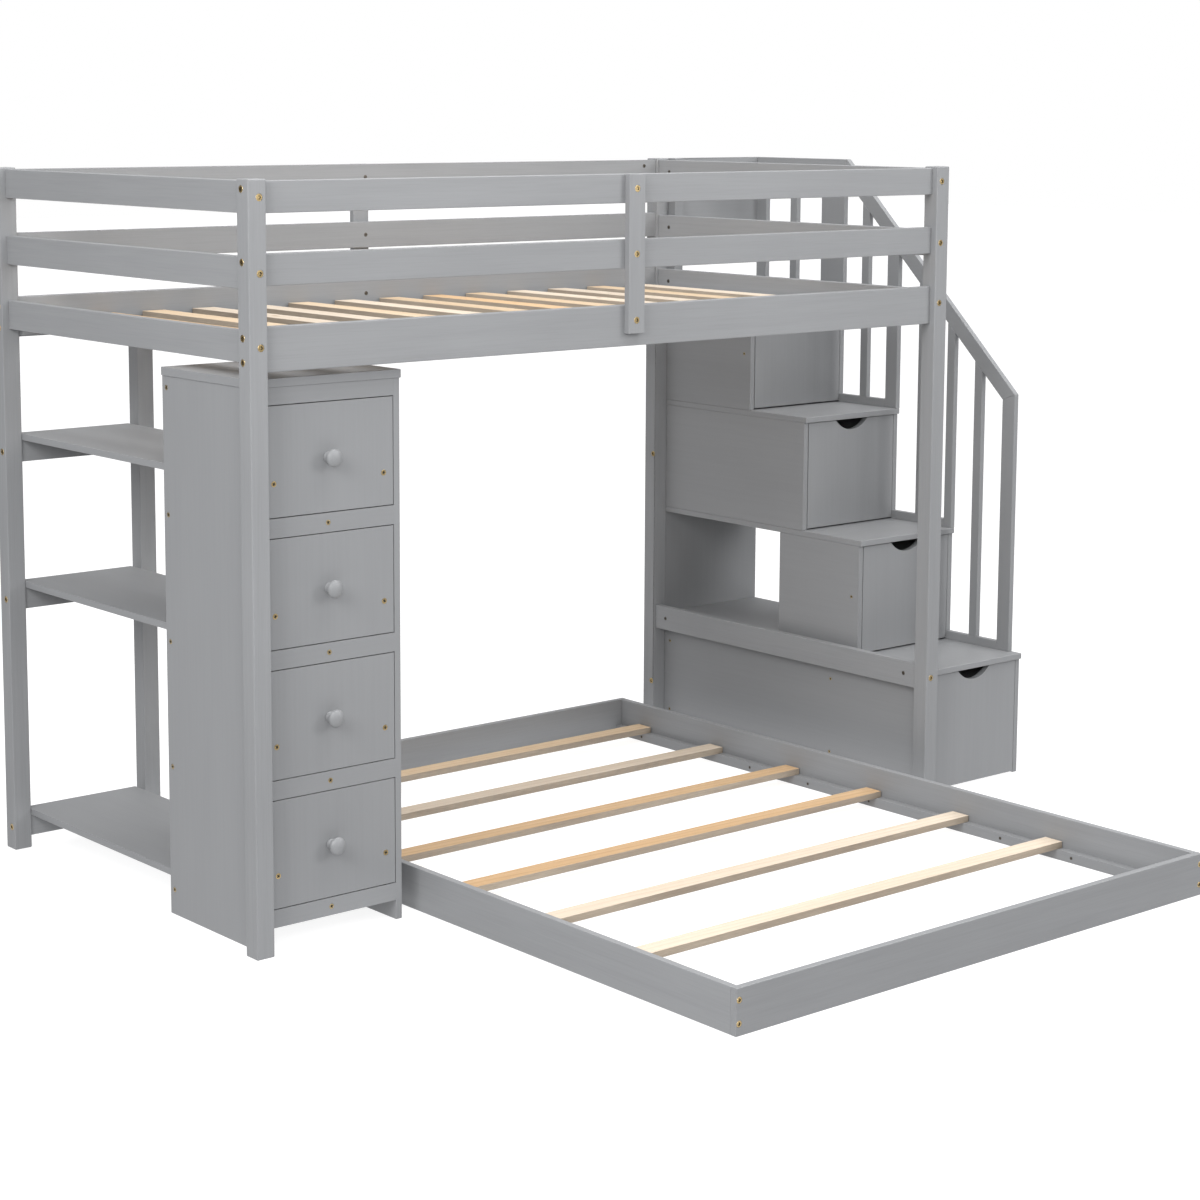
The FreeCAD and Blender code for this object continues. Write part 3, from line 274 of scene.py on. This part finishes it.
# ---------------------------------------------------------------- painted boards from the frame
# node: (material, radius of the eased edges in mm)
FINISHES = {
    "guard_strips": (WOOD["z"], 1.6),
    "stair_tie_rail": (WOOD["y"], 1.8),
    "left_end_rails": (WOOD["y"], 1.8),
    "right_end_rails": (WOOD["y"], 1.8),
    "loft_ledgers": (WOOD["x"], 1.2),
    "shelf_upright": (WOOD["z"], 2.4),
    "shelf_rails": (WOOD["x"], 1.4),
    "shelf_boards": (PANEL["y"], 1.2),
    "chest_sides": (PANEL["z"], 0.6),
    "chest_top": (PANEL["x"], 1.6),
    "chest_back": (PANEL["z"], 0.4),
    "chest_rails": (PANEL["x"], 0.3),
    "chest_runners": (WOOD["y"], 0.8),
    "base_sides": (PANEL["y"], 1.3),
    "stair_inner_boards": (PANEL["z"], 0.5),
    "guard_end_post": (PANEL["z"], 1.1),
    "guard_handrail": (PANEL["y"], 1.1),
    "guard_top_rail": (PANEL["y"], 1.1),
    "guard_posts": (PANEL["z"], 1.1),
    "guard_balusters": (PANEL["z"], 1.1),
    "guard_foot_rails": (PANEL["y"], 1.1),
    "landing_back": (PANEL["x"], 1.1),
    "floor_bed_sides": (WOOD["y"], 2.0),
    "floor_bed_ends": (WOOD["x"], 2.0),
    "floor_bed_ledgers": (WOOD["y"], 1.0),
}
for corner in ("front_left", "front_right", "back_left", "back_right"):
    FINISHES["post_" + corner] = (WOOD["z"], 2.6)
for level in ("top", "middle", "low"):
    for row in ("front", "back"):
        FINISHES["%s_rail_%s" % (row, level)] = (WOOD["x"], 1.8)
for count in (1, 2, 3, 4):
    FINISHES["tread_%d" % count] = (PANEL["x"], 1.8)
    FINISHES["chest_drawer_%d" % count] = (PANEL["z"], 0.4)
    FINISHES["stair_drawer_%d" % count] = (PANEL["z"], 0.5)
for count in (2, 3, 4):
    FINISHES["step_%d_sides" % count] = (PANEL["y"], 1.3)


def edge_marker():
    """Node group that marks the sharp long edges of a board, and leaves the rims of its bores."""
    group = bpy.data.node_groups.new("mark_board_edges", "GeometryNodeTree")
    for way in ("INPUT", "OUTPUT"):
        group.interface.new_socket("Geometry", in_out=way, socket_type="NodeSocketGeometry")
    nodes = group.nodes
    entry, leave = nodes.new("NodeGroupInput"), nodes.new("NodeGroupOutput")
    store = nodes.new("GeometryNodeStoreNamedAttribute")
    store.data_type, store.domain = "FLOAT", "EDGE"
    store.inputs["Name"].default_value = "bevel_weight_edge"
    ends = nodes.new("GeometryNodeInputMeshEdgeVertices")
    span = nodes.new("ShaderNodeVectorMath")
    span.operation = "DISTANCE"
    turn = nodes.new("GeometryNodeInputMeshEdgeAngle")
    both = nodes.new("ShaderNodeMath")
    both.operation = "MULTIPLY"
    group.links.new(ends.outputs["Position 1"], span.inputs[0])
    group.links.new(ends.outputs["Position 2"], span.inputs[1])
    tests = ((span.outputs["Value"], SHORTEST_EDGE), (turn.outputs["Unsigned Angle"], SHARP))
    for socket, (value, limit) in zip(both.inputs, tests):
        above = nodes.new("ShaderNodeMath")
        above.operation = "GREATER_THAN"
        above.inputs[1].default_value = limit
        group.links.new(value, above.inputs[0])
        group.links.new(above.outputs[0], socket)
    flat = nodes.new("GeometryNodeSetShadeSmooth")
    flat.inputs["Shade Smooth"].default_value = False
    group.links.new(entry.outputs[0], flat.inputs["Geometry"])
    group.links.new(flat.outputs[0], store.inputs["Geometry"])
    group.links.new(both.outputs[0], store.inputs["Value"])
    group.links.new(store.outputs[0], leave.inputs[0])
    return group


def box_keeper():
    """Node group that holds every point inside the board's own box."""
    group = bpy.data.node_groups.new("keep_in_box", "GeometryNodeTree")
    group.interface.new_socket("Geometry", in_out="INPUT", socket_type="NodeSocketGeometry")
    group.interface.new_socket("Low", in_out="INPUT", socket_type="NodeSocketVector")
    group.interface.new_socket("High", in_out="INPUT", socket_type="NodeSocketVector")
    group.interface.new_socket("Geometry", in_out="OUTPUT", socket_type="NodeSocketGeometry")
    entry, leave = group.nodes.new("NodeGroupInput"), group.nodes.new("NodeGroupOutput")
    move = group.nodes.new("GeometryNodeSetPosition")
    value = group.nodes.new("GeometryNodeInputPosition").outputs[0]
    for operation, limit in (("MAXIMUM", "Low"), ("MINIMUM", "High")):
        clamp = group.nodes.new("ShaderNodeVectorMath")
        clamp.operation = operation
        group.links.new(value, clamp.inputs[0])
        group.links.new(entry.outputs[limit], clamp.inputs[1])
        value = clamp.outputs[0]
    group.links.new(entry.outputs["Geometry"], move.inputs["Geometry"])
    group.links.new(value, move.inputs["Position"])
    group.links.new(move.outputs[0], leave.inputs[0])
    return group


SHORTEST_EDGE = 6 * MM
SHARP = math.radians(40)
EDGE_MARKER = edge_marker()
BOX_KEEPER = box_keeper()
LOW_SOCKET, HIGH_SOCKET = [item.identifier for item in BOX_KEEPER.interface.items_tree
                           if item.name in ("Low", "High")]


def ease_edges(name, radius):
    """Round the long edges of a board a little, as sanded and painted wood is."""
    piece = NODES[name]
    weld = piece.modifiers.new("weld", "WELD")
    weld.merge_threshold = 0.01 * MM
    merge = piece.modifiers.new("flat_faces", "DECIMATE")
    merge.decimate_type = "DISSOLVE"
    merge.angle_limit = math.radians(0.5)
    marks = piece.modifiers.new("board_edges", "NODES")
    marks.node_group = EDGE_MARKER
    bevel = piece.modifiers.new("eased_edges", "BEVEL")
    bevel.width = radius * MM
    bevel.segments = 3
    bevel.limit_method = "WEIGHT"
    bevel.use_clamp_overlap = True
    hold = piece.modifiers.new("keep_in_box", "NODES")
    hold.node_group = BOX_KEEPER
    low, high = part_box(name)
    hold[LOW_SOCKET] = low
    hold[HIGH_SOCKET] = high


for name, (material, radius) in FINISHES.items():
    board = NODES[name]
    board.data.materials.clear()
    board.data.materials.append(material)
    ease_edges(name, radius)


# ---------------------------------------------------------------- reading solids from the frame
def key(point):
    """A point rounded so that the copies of one corner compare equal."""
    return tuple(round(value, 5) for value in point)


def solids_of(name):
    """The separate solids of a CAD node, each as a list of its corner points."""
    mesh = NODES[name].data
    parent = {}

    def root(item):
        while parent[item] != item:
            parent[item] = parent[parent[item]]
            item = parent[item]
        return item

    keys = [key(vertex.co) for vertex in mesh.vertices]
    for item in keys:
        parent.setdefault(item, item)
    for polygon in mesh.polygons:
        first = root(keys[polygon.vertices[0]])
        for index in polygon.vertices[1:]:
            parent[root(keys[index])] = first
    groups = {}
    for item in parent:
        groups.setdefault(root(item), []).append(Vector(item))
    return [groups[head] for head in sorted(groups)]


def extent(points):
    """The low and high corners of the box round some points."""
    low = Vector(min(p[i] for p in points) for i in range(3))
    high = Vector(max(p[i] for p in points) for i in range(3))
    return low, high


def finish_piece(name, builder, body, materials, replaced=()):
    """Turn a bmesh into a named piece that rides on a body."""
    mesh = bpy.data.meshes.new(name)
    builder.to_mesh(mesh)
    builder.free()
    for material in materials:
        mesh.materials.append(material)
    piece = bpy.data.objects.new(name, mesh)
    bpy.context.scene.collection.objects.link(piece)
    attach(piece, body)
    if replaced:
        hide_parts(*replaced)
    return piece


# ---------------------------------------------------------------- slats
def slat(name, low, high, axis, body, tint, rng):
    """A planed slat: eased edges, a slight bow along its length and faint unevenness."""
    builder = bmesh.new()
    bmesh.ops.create_cube(builder, size=1.0)
    size = high - low
    middle = (low + high) / 2
    index = "xy".index(axis)
    cuts = 24
    lengthwise = [e for e in builder.edges
                  if abs(e.verts[0].co[index] - e.verts[1].co[index]) > 0.5]
    bmesh.ops.subdivide_edges(builder, edges=lengthwise, cuts=cuts, use_grid_fill=False)
    bow = rng.uniform(-0.6, 0.6) * MM
    phase = rng.uniform(0, math.tau)
    for vertex in builder.verts:
        t = vertex.co[index]
        across = 1 - index
        vertex.co = Vector(vertex.co[i] * size[i] for i in range(3))
        vertex.co[across] += bow * (1 - 4 * t * t) + 0.25 * MM * math.sin(5 * t + phase)
        vertex.co += middle
    square = [e for e in builder.edges if e.is_manifold and e.calc_face_angle(0) > 1.0]
    bmesh.ops.bevel(builder, geom=square, offset=1.3 * MM, segments=2, affect="EDGES",
                    profile=0.6, clamp_overlap=True)
    for face in builder.faces:
        face.smooth = True
        # the long sides of the slat take the sawn material, whose darker tone is painted shade
        if abs(face.normal[1 - index]) > 0.9:
            face.material_index = 1
    piece = finish_piece(name, builder, body, [PINE[axis, tint], SAWN_WITH_SHADE[axis]])
    normals = piece.modifiers.new("flat_faces", "WEIGHTED_NORMAL")
    normals.keep_sharp = False
    return piece


def slat_row(node, prefix, axis, body, tints, seed):
    """One board for each slat, in order from the left or from the front."""
    rng = random.Random(seed)
    rows = sorted(solids_of(node), key=lambda points: tuple(extent(points)[0]))
    for count, points in enumerate(rows):
        low, high = extent(points)
        piece = slat("%s_%02d" % (prefix, count + 1), low, high, axis, body,
                     tints[count % len(tints)], rng)
        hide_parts(node)


slat_row("loft_slats", "loft_slat_board", "y", "loft_frame",
         ("warm", "amber", "warm", "pale", "pale", "warm", "pale"), 11)
slat_row("floor_bed_slats", "floor_slat_board", "x", "floor_bed",
         ("pale", "pale", "amber", "amber", "pale", "warm"), 23)


# ---------------------------------------------------------------- fasteners
DISC_SIDES = 32
SOCKET_SIDES = 36  # a multiple of twelve, so that the socket's corners are sharp
SOCKET_DEPTH = 2.2 * MM
SLOT_DEPTH = 1.2 * MM
PROUD = 0.5 * MM  # how far a head laid on an unbored board stands out of it
SHALLOW = 0.4 * MM  # depth of the slot in such a head
THROUGH_LENGTH = 40 * MM  # a shorter frame bolt goes right through its rail
SLEEVE_RADIUS = 5.2 * MM


def ring(builder, radius, height, count):
    """Points round a circle at a height above the builder's own plane."""
    angles = [math.tau * i / count for i in range(count)]
    return [builder.verts.new((radius * math.cos(angle), radius * math.sin(angle), height))
            for angle in angles]


def skin(builder, lower, upper, material):
    """Quads between two rings with the same number of points."""
    count = len(lower)
    for i in range(count):
        face = builder.faces.new((lower[i], lower[(i + 1) % count],
                                  upper[(i + 1) % count], upper[i]))
        face.material_index = material


def socket_head(builder, radius, place):
    """A flush round head with a chamfered rim and a six-sided socket, facing +Z before place."""
    before = set(builder.verts)
    count = SOCKET_SIDES
    outer = ring(builder, radius, -2.4 * MM, count)
    shoulder = ring(builder, radius, -0.55 * MM, count)
    face = ring(builder, radius - 0.55 * MM, 0.0, count)
    skin(builder, outer, shoulder, 0)
    skin(builder, shoulder, face, 0)
    flat = radius * 0.50
    rim = []
    for i in range(count):
        angle = math.tau * i / count
        side = (angle + math.pi / 6) % (math.pi / 3) - math.pi / 6
        reach = flat / math.cos(side)
        rim.append(builder.verts.new((reach * math.cos(angle), reach * math.sin(angle), 0.0)))
    skin(builder, face, rim, 0)
    floor = [builder.verts.new((v.co.x * 0.94, v.co.y * 0.94, -SOCKET_DEPTH)) for v in rim]
    skin(builder, rim, floor, 1)
    builder.faces.new(floor).material_index = 1
    builder.faces.new(list(reversed(outer))).material_index = 0
    settle(builder, before, place)


def cross_head(builder, radius, place, depth=SLOT_DEPTH):
    """A small countersunk screw head with a cross slot."""
    before = set(builder.verts)
    count = DISC_SIDES
    outer = ring(builder, radius, -1.4 * MM, count)
    face = ring(builder, radius, -0.12 * MM, count)
    crown = ring(builder, radius * 0.82, 0.0, count)
    skin(builder, outer, face, 0)
    skin(builder, face, crown, 0)
    arm, half = radius * 0.62, radius * 0.22
    rim = []
    for i in range(count):
        angle = math.tau * i / count
        local = (angle + math.pi / 4) % (math.pi / 2) - math.pi / 4
        reach = min(arm, half / max(abs(math.sin(local)), 0.001))
        reach = max(reach, half * 1.42)
        rim.append(builder.verts.new((reach * math.cos(angle), reach * math.sin(angle), 0.0)))
    skin(builder, crown, rim, 0)
    floor = [builder.verts.new((v.co.x * 0.6, v.co.y * 0.6, -depth)) for v in rim]
    skin(builder, rim, floor, 1)
    builder.faces.new(floor).material_index = 1
    builder.faces.new(list(reversed(outer))).material_index = 0
    settle(builder, before, place)


def nut_end(builder, radius, place, depth=SLOT_DEPTH):
    """The end of a barrel nut: a chamfered disc with a screwdriver slot."""
    before = set(builder.verts)
    count = DISC_SIDES
    outer = ring(builder, radius, -2.0 * MM, count)
    shoulder = ring(builder, radius, -0.5 * MM, count)
    face = ring(builder, radius - 0.5 * MM, 0.0, count)
    skin(builder, outer, shoulder, 0)
    skin(builder, shoulder, face, 0)
    arm, half = radius * 0.78, radius * 0.14
    rim = []
    for i in range(count):
        angle = math.tau * i / count
        reach_x = arm / max(abs(math.cos(angle)), 0.001)
        reach_y = half / max(abs(math.sin(angle)), 0.001)
        reach = min(reach_x, reach_y)
        rim.append(builder.verts.new((reach * math.cos(angle), reach * math.sin(angle), 0.0)))
    skin(builder, face, rim, 0)
    floor = [builder.verts.new((v.co.x * 0.96, v.co.y * 0.9, -depth)) for v in rim]
    skin(builder, rim, floor, 1)
    builder.faces.new(floor).material_index = 1
    builder.faces.new(list(reversed(outer))).material_index = 0
    settle(builder, before, place)


def settle(builder, before, place):
    """Carry the points made since before from the builder's own plane to their place."""
    made = [v for v in builder.verts if v not in before]
    bmesh.ops.transform(builder, matrix=place, verts=made)


def facing(point, direction, turn):
    """Matrix that carries +Z to a direction at a point, turned about it."""
    rotation = Vector(direction).to_track_quat("Z", "Y").to_matrix().to_4x4()
    return Matrix.Translation(point) @ rotation @ Matrix.Rotation(turn, 4, "Z")


def head_of(points):
    """Where the head of a bolt or screw is, which way it faces, and its radius."""
    low, high = extent(points)
    size = high - low
    axis = max(range(3), key=lambda i: size[i])
    middle = (low + high) / 2

    def width(at_low):
        edge = low[axis] if at_low else high[axis]
        others = [i for i in range(3) if i != axis]
        return max(math.hypot(*(p[i] - middle[i] for i in others))
                   for p in points if abs(p[axis] - edge) < 0.2 * MM)

    at_low = width(True) > width(False)
    direction = Vector((0.0, 0.0, 0.0))
    direction[axis] = -1.0 if at_low else 1.0
    place = middle.copy()
    place[axis] = low[axis] if at_low else high[axis]
    return place, direction, max(width(True), width(False)), size[axis]


def fasteners(node, name, body, shape, materials, seed):
    """A detailed head and a plain shank for each bolt or screw of a node."""
    rng = random.Random(seed)
    builder = bmesh.new()
    for points in solids_of(node):
        place, direction, radius, length = head_of(points)
        shape(builder, radius, facing(place, direction, rng.uniform(0, math.tau)))
        shank = bmesh.ops.create_cone(
            builder, cap_ends=True, segments=12, radius1=radius * 0.4, radius2=radius * 0.4,
            depth=length - 2.0 * MM,
            matrix=facing(place - direction * (length / 2 + 0.9 * MM), direction, 0.0))
        for vertex in shank["verts"]:
            for face in vertex.link_faces:
                face.material_index = 0
    bmesh.ops.recalc_face_normals(builder, faces=builder.faces)
    finish_piece(name, builder, body, materials, (node,))


def barrel_ends(node, name, body, seed):
    """Only the inner ends of the barrel nuts, which face the middle of the loft."""
    rng = random.Random(seed)
    builder = bmesh.new()
    posts_low, posts_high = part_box("front_rail_top")[0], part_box("back_rail_top")[1]
    middle = (posts_low + posts_high) / 2
    for points in solids_of(node):
        low, high = extent(points)
        size = high - low
        centre = (low + high) / 2
        radius = size.z / 2
        depth_axis = 0 if abs(size.x - 2 * radius) > 0.5 * MM else 1
        toward = 1.0 if middle[depth_axis] > centre[depth_axis] else -1.0
        direction = Vector((0.0, 0.0, 0.0))
        direction[depth_axis] = toward
        place = centre + direction * size[depth_axis] / 2
        nut_end(builder, radius, facing(place, direction, rng.uniform(-0.5, 0.5)))
    bmesh.ops.recalc_face_normals(builder, faces=builder.faces)
    finish_piece(name, builder, body, [DARK_STEEL, RECESS], (node,))


fasteners("frame_bolts", "frame_bolt_heads", "loft_frame", socket_head, [YELLOW_ZINC, RECESS], 5)
fasteners("floor_bed_bolts", "floor_bolt_heads", "floor_bed", socket_head,
          [YELLOW_ZINC, RECESS], 6)
fasteners("panel_screws", "panel_screw_heads", "loft_frame", cross_head,
          [DULL_ZINC, RECESS], 7)
barrel_ends("barrel_nuts", "barrel_nut_ends", "loft_frame", 8)


def strip_nuts():
    """Dark sleeve nuts on the inner ends of the bolts that go right through a rail."""
    builder = bmesh.new()
    for points in solids_of("frame_bolts"):
        place, direction, radius, length = head_of(points)
        if length < THROUGH_LENGTH:
            end = place - direction * (length + PROUD)
            nut_end(builder, SLEEVE_RADIUS, facing(end, -direction, 0.4), SHALLOW)
    bmesh.ops.recalc_face_normals(builder, faces=builder.faces)
    finish_piece("strip_nut_ends", builder, "loft_frame", [DARK_STEEL, RECESS])


strip_nuts()

FRONT_SCREW_SPREAD = 135 * MM  # each screw of a drawer front from the middle between them
FRONT_SCREW_SHIFT = 4 * MM  # that middle to the right of the middle of the drawer
FRONT_SCREW_RISE = 70 * MM
FRONT_SCREW_RADIUS = 6.0 * MM
FRONT_SCREW_SEED = 40
LEDGER_REACH = 100 * MM  # a ledger that starts this near the left side is the left one
LEDGER_SCREWS = 9
LEDGER_SCREW_RADIUS = 3.6 * MM


def drawer_front_screws(count):
    """Two small screws in the face of a chest drawer, one near each end."""
    drawer = "chest_drawer_%d" % count
    low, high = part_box(drawer)
    centre = (low.x + high.x) / 2 + FRONT_SCREW_SHIFT
    builder = bmesh.new()
    rng = random.Random(FRONT_SCREW_SEED + count)
    for side in (-1, 1):
        place = Vector((centre + side * FRONT_SCREW_SPREAD, low.y - PROUD,
                        low.z + FRONT_SCREW_RISE))
        turned = facing(place, (0, -1, 0), rng.uniform(0, math.tau))
        cross_head(builder, FRONT_SCREW_RADIUS, turned, SHALLOW)
    bmesh.ops.recalc_face_normals(builder, faces=builder.faces)
    finish_piece(drawer + "_screws", builder, drawer, [YELLOW_ZINC, RECESS])


def ledger_screws():
    """Dark screws sunk in the inner faces of the floor bed ledgers."""
    builder = bmesh.new()
    rng = random.Random(61)
    for points in solids_of("floor_bed_ledgers"):
        low, high = extent(points)
        toward = 1 if low.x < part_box("floor_bed_ends")[0].x + LEDGER_REACH else -1
        x = (high.x if toward > 0 else low.x) + toward * PROUD
        for count in range(LEDGER_SCREWS):
            y = low.y + (high.y - low.y) * (count + 0.5) / LEDGER_SCREWS
            place = facing(Vector((x, y, (low.z + high.z) / 2)), (toward, 0, 0),
                           rng.uniform(0, math.tau))
            cross_head(builder, LEDGER_SCREW_RADIUS, place, SHALLOW)
    bmesh.ops.recalc_face_normals(builder, faces=builder.faces)
    finish_piece("floor_ledger_screws", builder, "floor_bed", [DARK_STEEL, RECESS])


ledger_screws()


# ---------------------------------------------------------------- knobs
KNOB_PROFILE = (  # distance out from the drawer and radius, mm
    (0.0, 0.0), (0.0, 11.0), (1.2, 11.8), (3.0, 11.2), (6.0, 9.4), (10.0, 8.4), (14.0, 9.2),
    (17.0, 12.4), (19.2, 16.4), (21.4, 18.4), (24.0, 19.0), (27.0, 18.0), (30.0, 14.8),
    (32.2, 9.6), (33.3, 4.6), (33.6, 0.0))
KNOB_WIDTH = 2 * max(radius for out, radius in KNOB_PROFILE)
KNOB_SIDES = 40


def knob(count):
    """A turned mushroom knob: foot, waist and a domed head."""
    node = "chest_knob_%d" % count
    low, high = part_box(node)
    centre = (low + high) / 2
    reach = (high.y - low.y) / MM / KNOB_PROFILE[-1][0]
    across = (high.z - low.z) / MM / KNOB_WIDTH
    builder = bmesh.new()
    rings = []
    for out, radius in KNOB_PROFILE[1:-1]:
        rings.append(ring(builder, radius * across * MM, out * reach * MM,
                          KNOB_SIDES))
    for lower, upper in zip(rings, rings[1:]):
        skin(builder, lower, upper, 0)
    builder.faces.new(list(reversed(rings[0])))
    tip = builder.verts.new((0, 0, KNOB_PROFILE[-1][0] * reach * MM))
    for i in range(KNOB_SIDES):
        builder.faces.new((rings[-1][i], rings[-1][(i + 1) % KNOB_SIDES], tip))
    foot = Vector((centre.x, high.y, centre.z))
    settle(builder, set(), facing(foot, (0, -1, 0), 0.0))
    for face in builder.faces:
        face.smooth = True
    piece = finish_piece("turned_knob_%d" % count, builder, "chest_drawer_%d" % count,
                         [WOOD["y"]], (node,))
    smooth = piece.modifiers.new("round", "SUBSURF")
    smooth.levels = 1
    smooth.render_levels = 2


for count in (1, 2, 3, 4):
    knob(count)
    drawer_front_screws(count)


# ---------------------------------------------------------------- stage, light and camera
FLOOR_REACH = 30.0
FLOOR_DROP = 0.5 * MM  # keeps the floor just below the feet
LIGHT_BY_HEIGHT = (  # place from straight down (0) to straight up (1), and strength
    (0.0, 1.10), (0.30, 1.10), (0.45, 0.10), (0.60, 0.10), (0.75, 1.0), (1.0, 1.0))
COOL = 1.015
CAMERA_PLACE = (-3.9664, -4.4036, 1.7236)
CAMERA_YAW, CAMERA_PITCH, CAMERA_ROLL = -0.6988, -0.1343, 0.0044


def make_floor():
    """A floor that looks white to the camera, takes a faint shadow and throws no light back."""
    mesh = bpy.data.meshes.new("floor")
    reach = FLOOR_REACH
    mesh.from_pydata([(-reach, -reach, 0), (reach, -reach, 0), (reach, reach, 0),
                      (-reach, reach, 0)], [], [(0, 1, 2, 3)])
    floor = bpy.data.objects.new("floor", mesh)
    floor.location.z = -FLOOR_DROP
    bpy.context.scene.collection.objects.link(floor)
    s = Shader("pale_floor")
    s.set(Base_Color=(0.30, 0.30, 0.30, 1.0), Roughness=0.9, Specular_IOR_Level=0.1,
          Emission_Color=(1.0, 1.0, 1.0, 1.0), Emission_Strength=0.85)
    mesh.materials.append(s.material)
    floor.visible_diffuse = False
    floor.visible_glossy = False


def make_world():
    """White to the camera; to the object, light from above and below and little at eye level."""
    world = bpy.data.worlds.new("studio")
    bpy.context.scene.world = world
    world.use_nodes = True
    nodes, links = world.node_tree.nodes, world.node_tree.links
    seen = nodes["Background"]
    seen.inputs["Color"].default_value = (1.0, 1.0, 1.0, 1.0)
    seen.inputs["Strength"].default_value = 1.0
    light = nodes.new("ShaderNodeBackground")
    light.inputs["Strength"].default_value = 1.0
    coords = nodes.new("ShaderNodeTexCoord")
    split = nodes.new("ShaderNodeSeparateXYZ")
    rise = nodes.new("ShaderNodeMapRange")
    rise.inputs["From Min"].default_value = -1.0
    ramp = nodes.new("ShaderNodeValToRGB")
    elements = ramp.color_ramp.elements
    while len(elements) < len(LIGHT_BY_HEIGHT):
        elements.new(0.5)
    for element, (position, value) in zip(elements, LIGHT_BY_HEIGHT):
        element.position = position
        element.color = (value, value, value * COOL, 1.0)
    links.new(coords.outputs["Generated"], split.inputs[0])
    links.new(split.outputs["Z"], rise.inputs["Value"])
    links.new(rise.outputs[0], ramp.inputs["Fac"])
    links.new(ramp.outputs["Color"], light.inputs["Color"])
    choose = nodes.new("ShaderNodeMixShader")
    links.new(nodes.new("ShaderNodeLightPath").outputs["Is Camera Ray"], choose.inputs[0])
    links.new(light.outputs[0], choose.inputs[1])
    links.new(seen.outputs[0], choose.inputs[2])
    links.new(choose.outputs[0], nodes["World Output"].inputs["Surface"])


def soft_box(name, place, target, size, power):
    """A large square lamp that faces a point."""
    lamp = bpy.data.lights.new(name, "AREA")
    lamp.shape = "SQUARE"
    lamp.size = size
    lamp.energy = power
    light = bpy.data.objects.new(name, lamp)
    aim = Vector(place) - Vector(target)
    light.location = place
    light.rotation_euler = aim.to_track_quat("Z", "Y").to_euler()
    bpy.context.scene.collection.objects.link(light)


def make_camera():
    """The photograph's viewpoint: left of the object, a little above its top, looking back."""
    data = bpy.data.cameras.new("camera")
    data.sensor_width = 36.0
    data.lens = 78.67
    data.shift_x = 0.0123
    data.shift_y = -0.12
    data.clip_end = 200.0
    camera = bpy.data.objects.new("camera", data)
    turn = (Matrix.Rotation(CAMERA_YAW, 4, "Z")
            @ Matrix.Rotation(math.pi / 2 + CAMERA_PITCH, 4, "X")
            @ Matrix.Rotation(CAMERA_ROLL, 4, "Z"))
    camera.matrix_world = Matrix.Translation(CAMERA_PLACE) @ turn
    bpy.context.scene.collection.objects.link(camera)
    bpy.context.scene.camera = camera


make_floor()
make_world()
AIM = (0.0, 0.0, 0.7)
soft_box("soft_box_left", (-4.6, -1.6, 3.0), AIM, 2.2, 134.0)
soft_box("soft_box_camera", (-3.8, -4.6, 2.6), AIM, 2.0, 92.0)
soft_box("soft_box_right", (3.0, -4.4, 3.0), AIM, 2.2, 112.0)
soft_box("soft_box_above", (0.2, -0.4, 4.6), (0.2, 0.0, 0.7), 3.0, 124.0)
make_camera()
bpy.context.scene.view_settings.view_transform = "Standard"
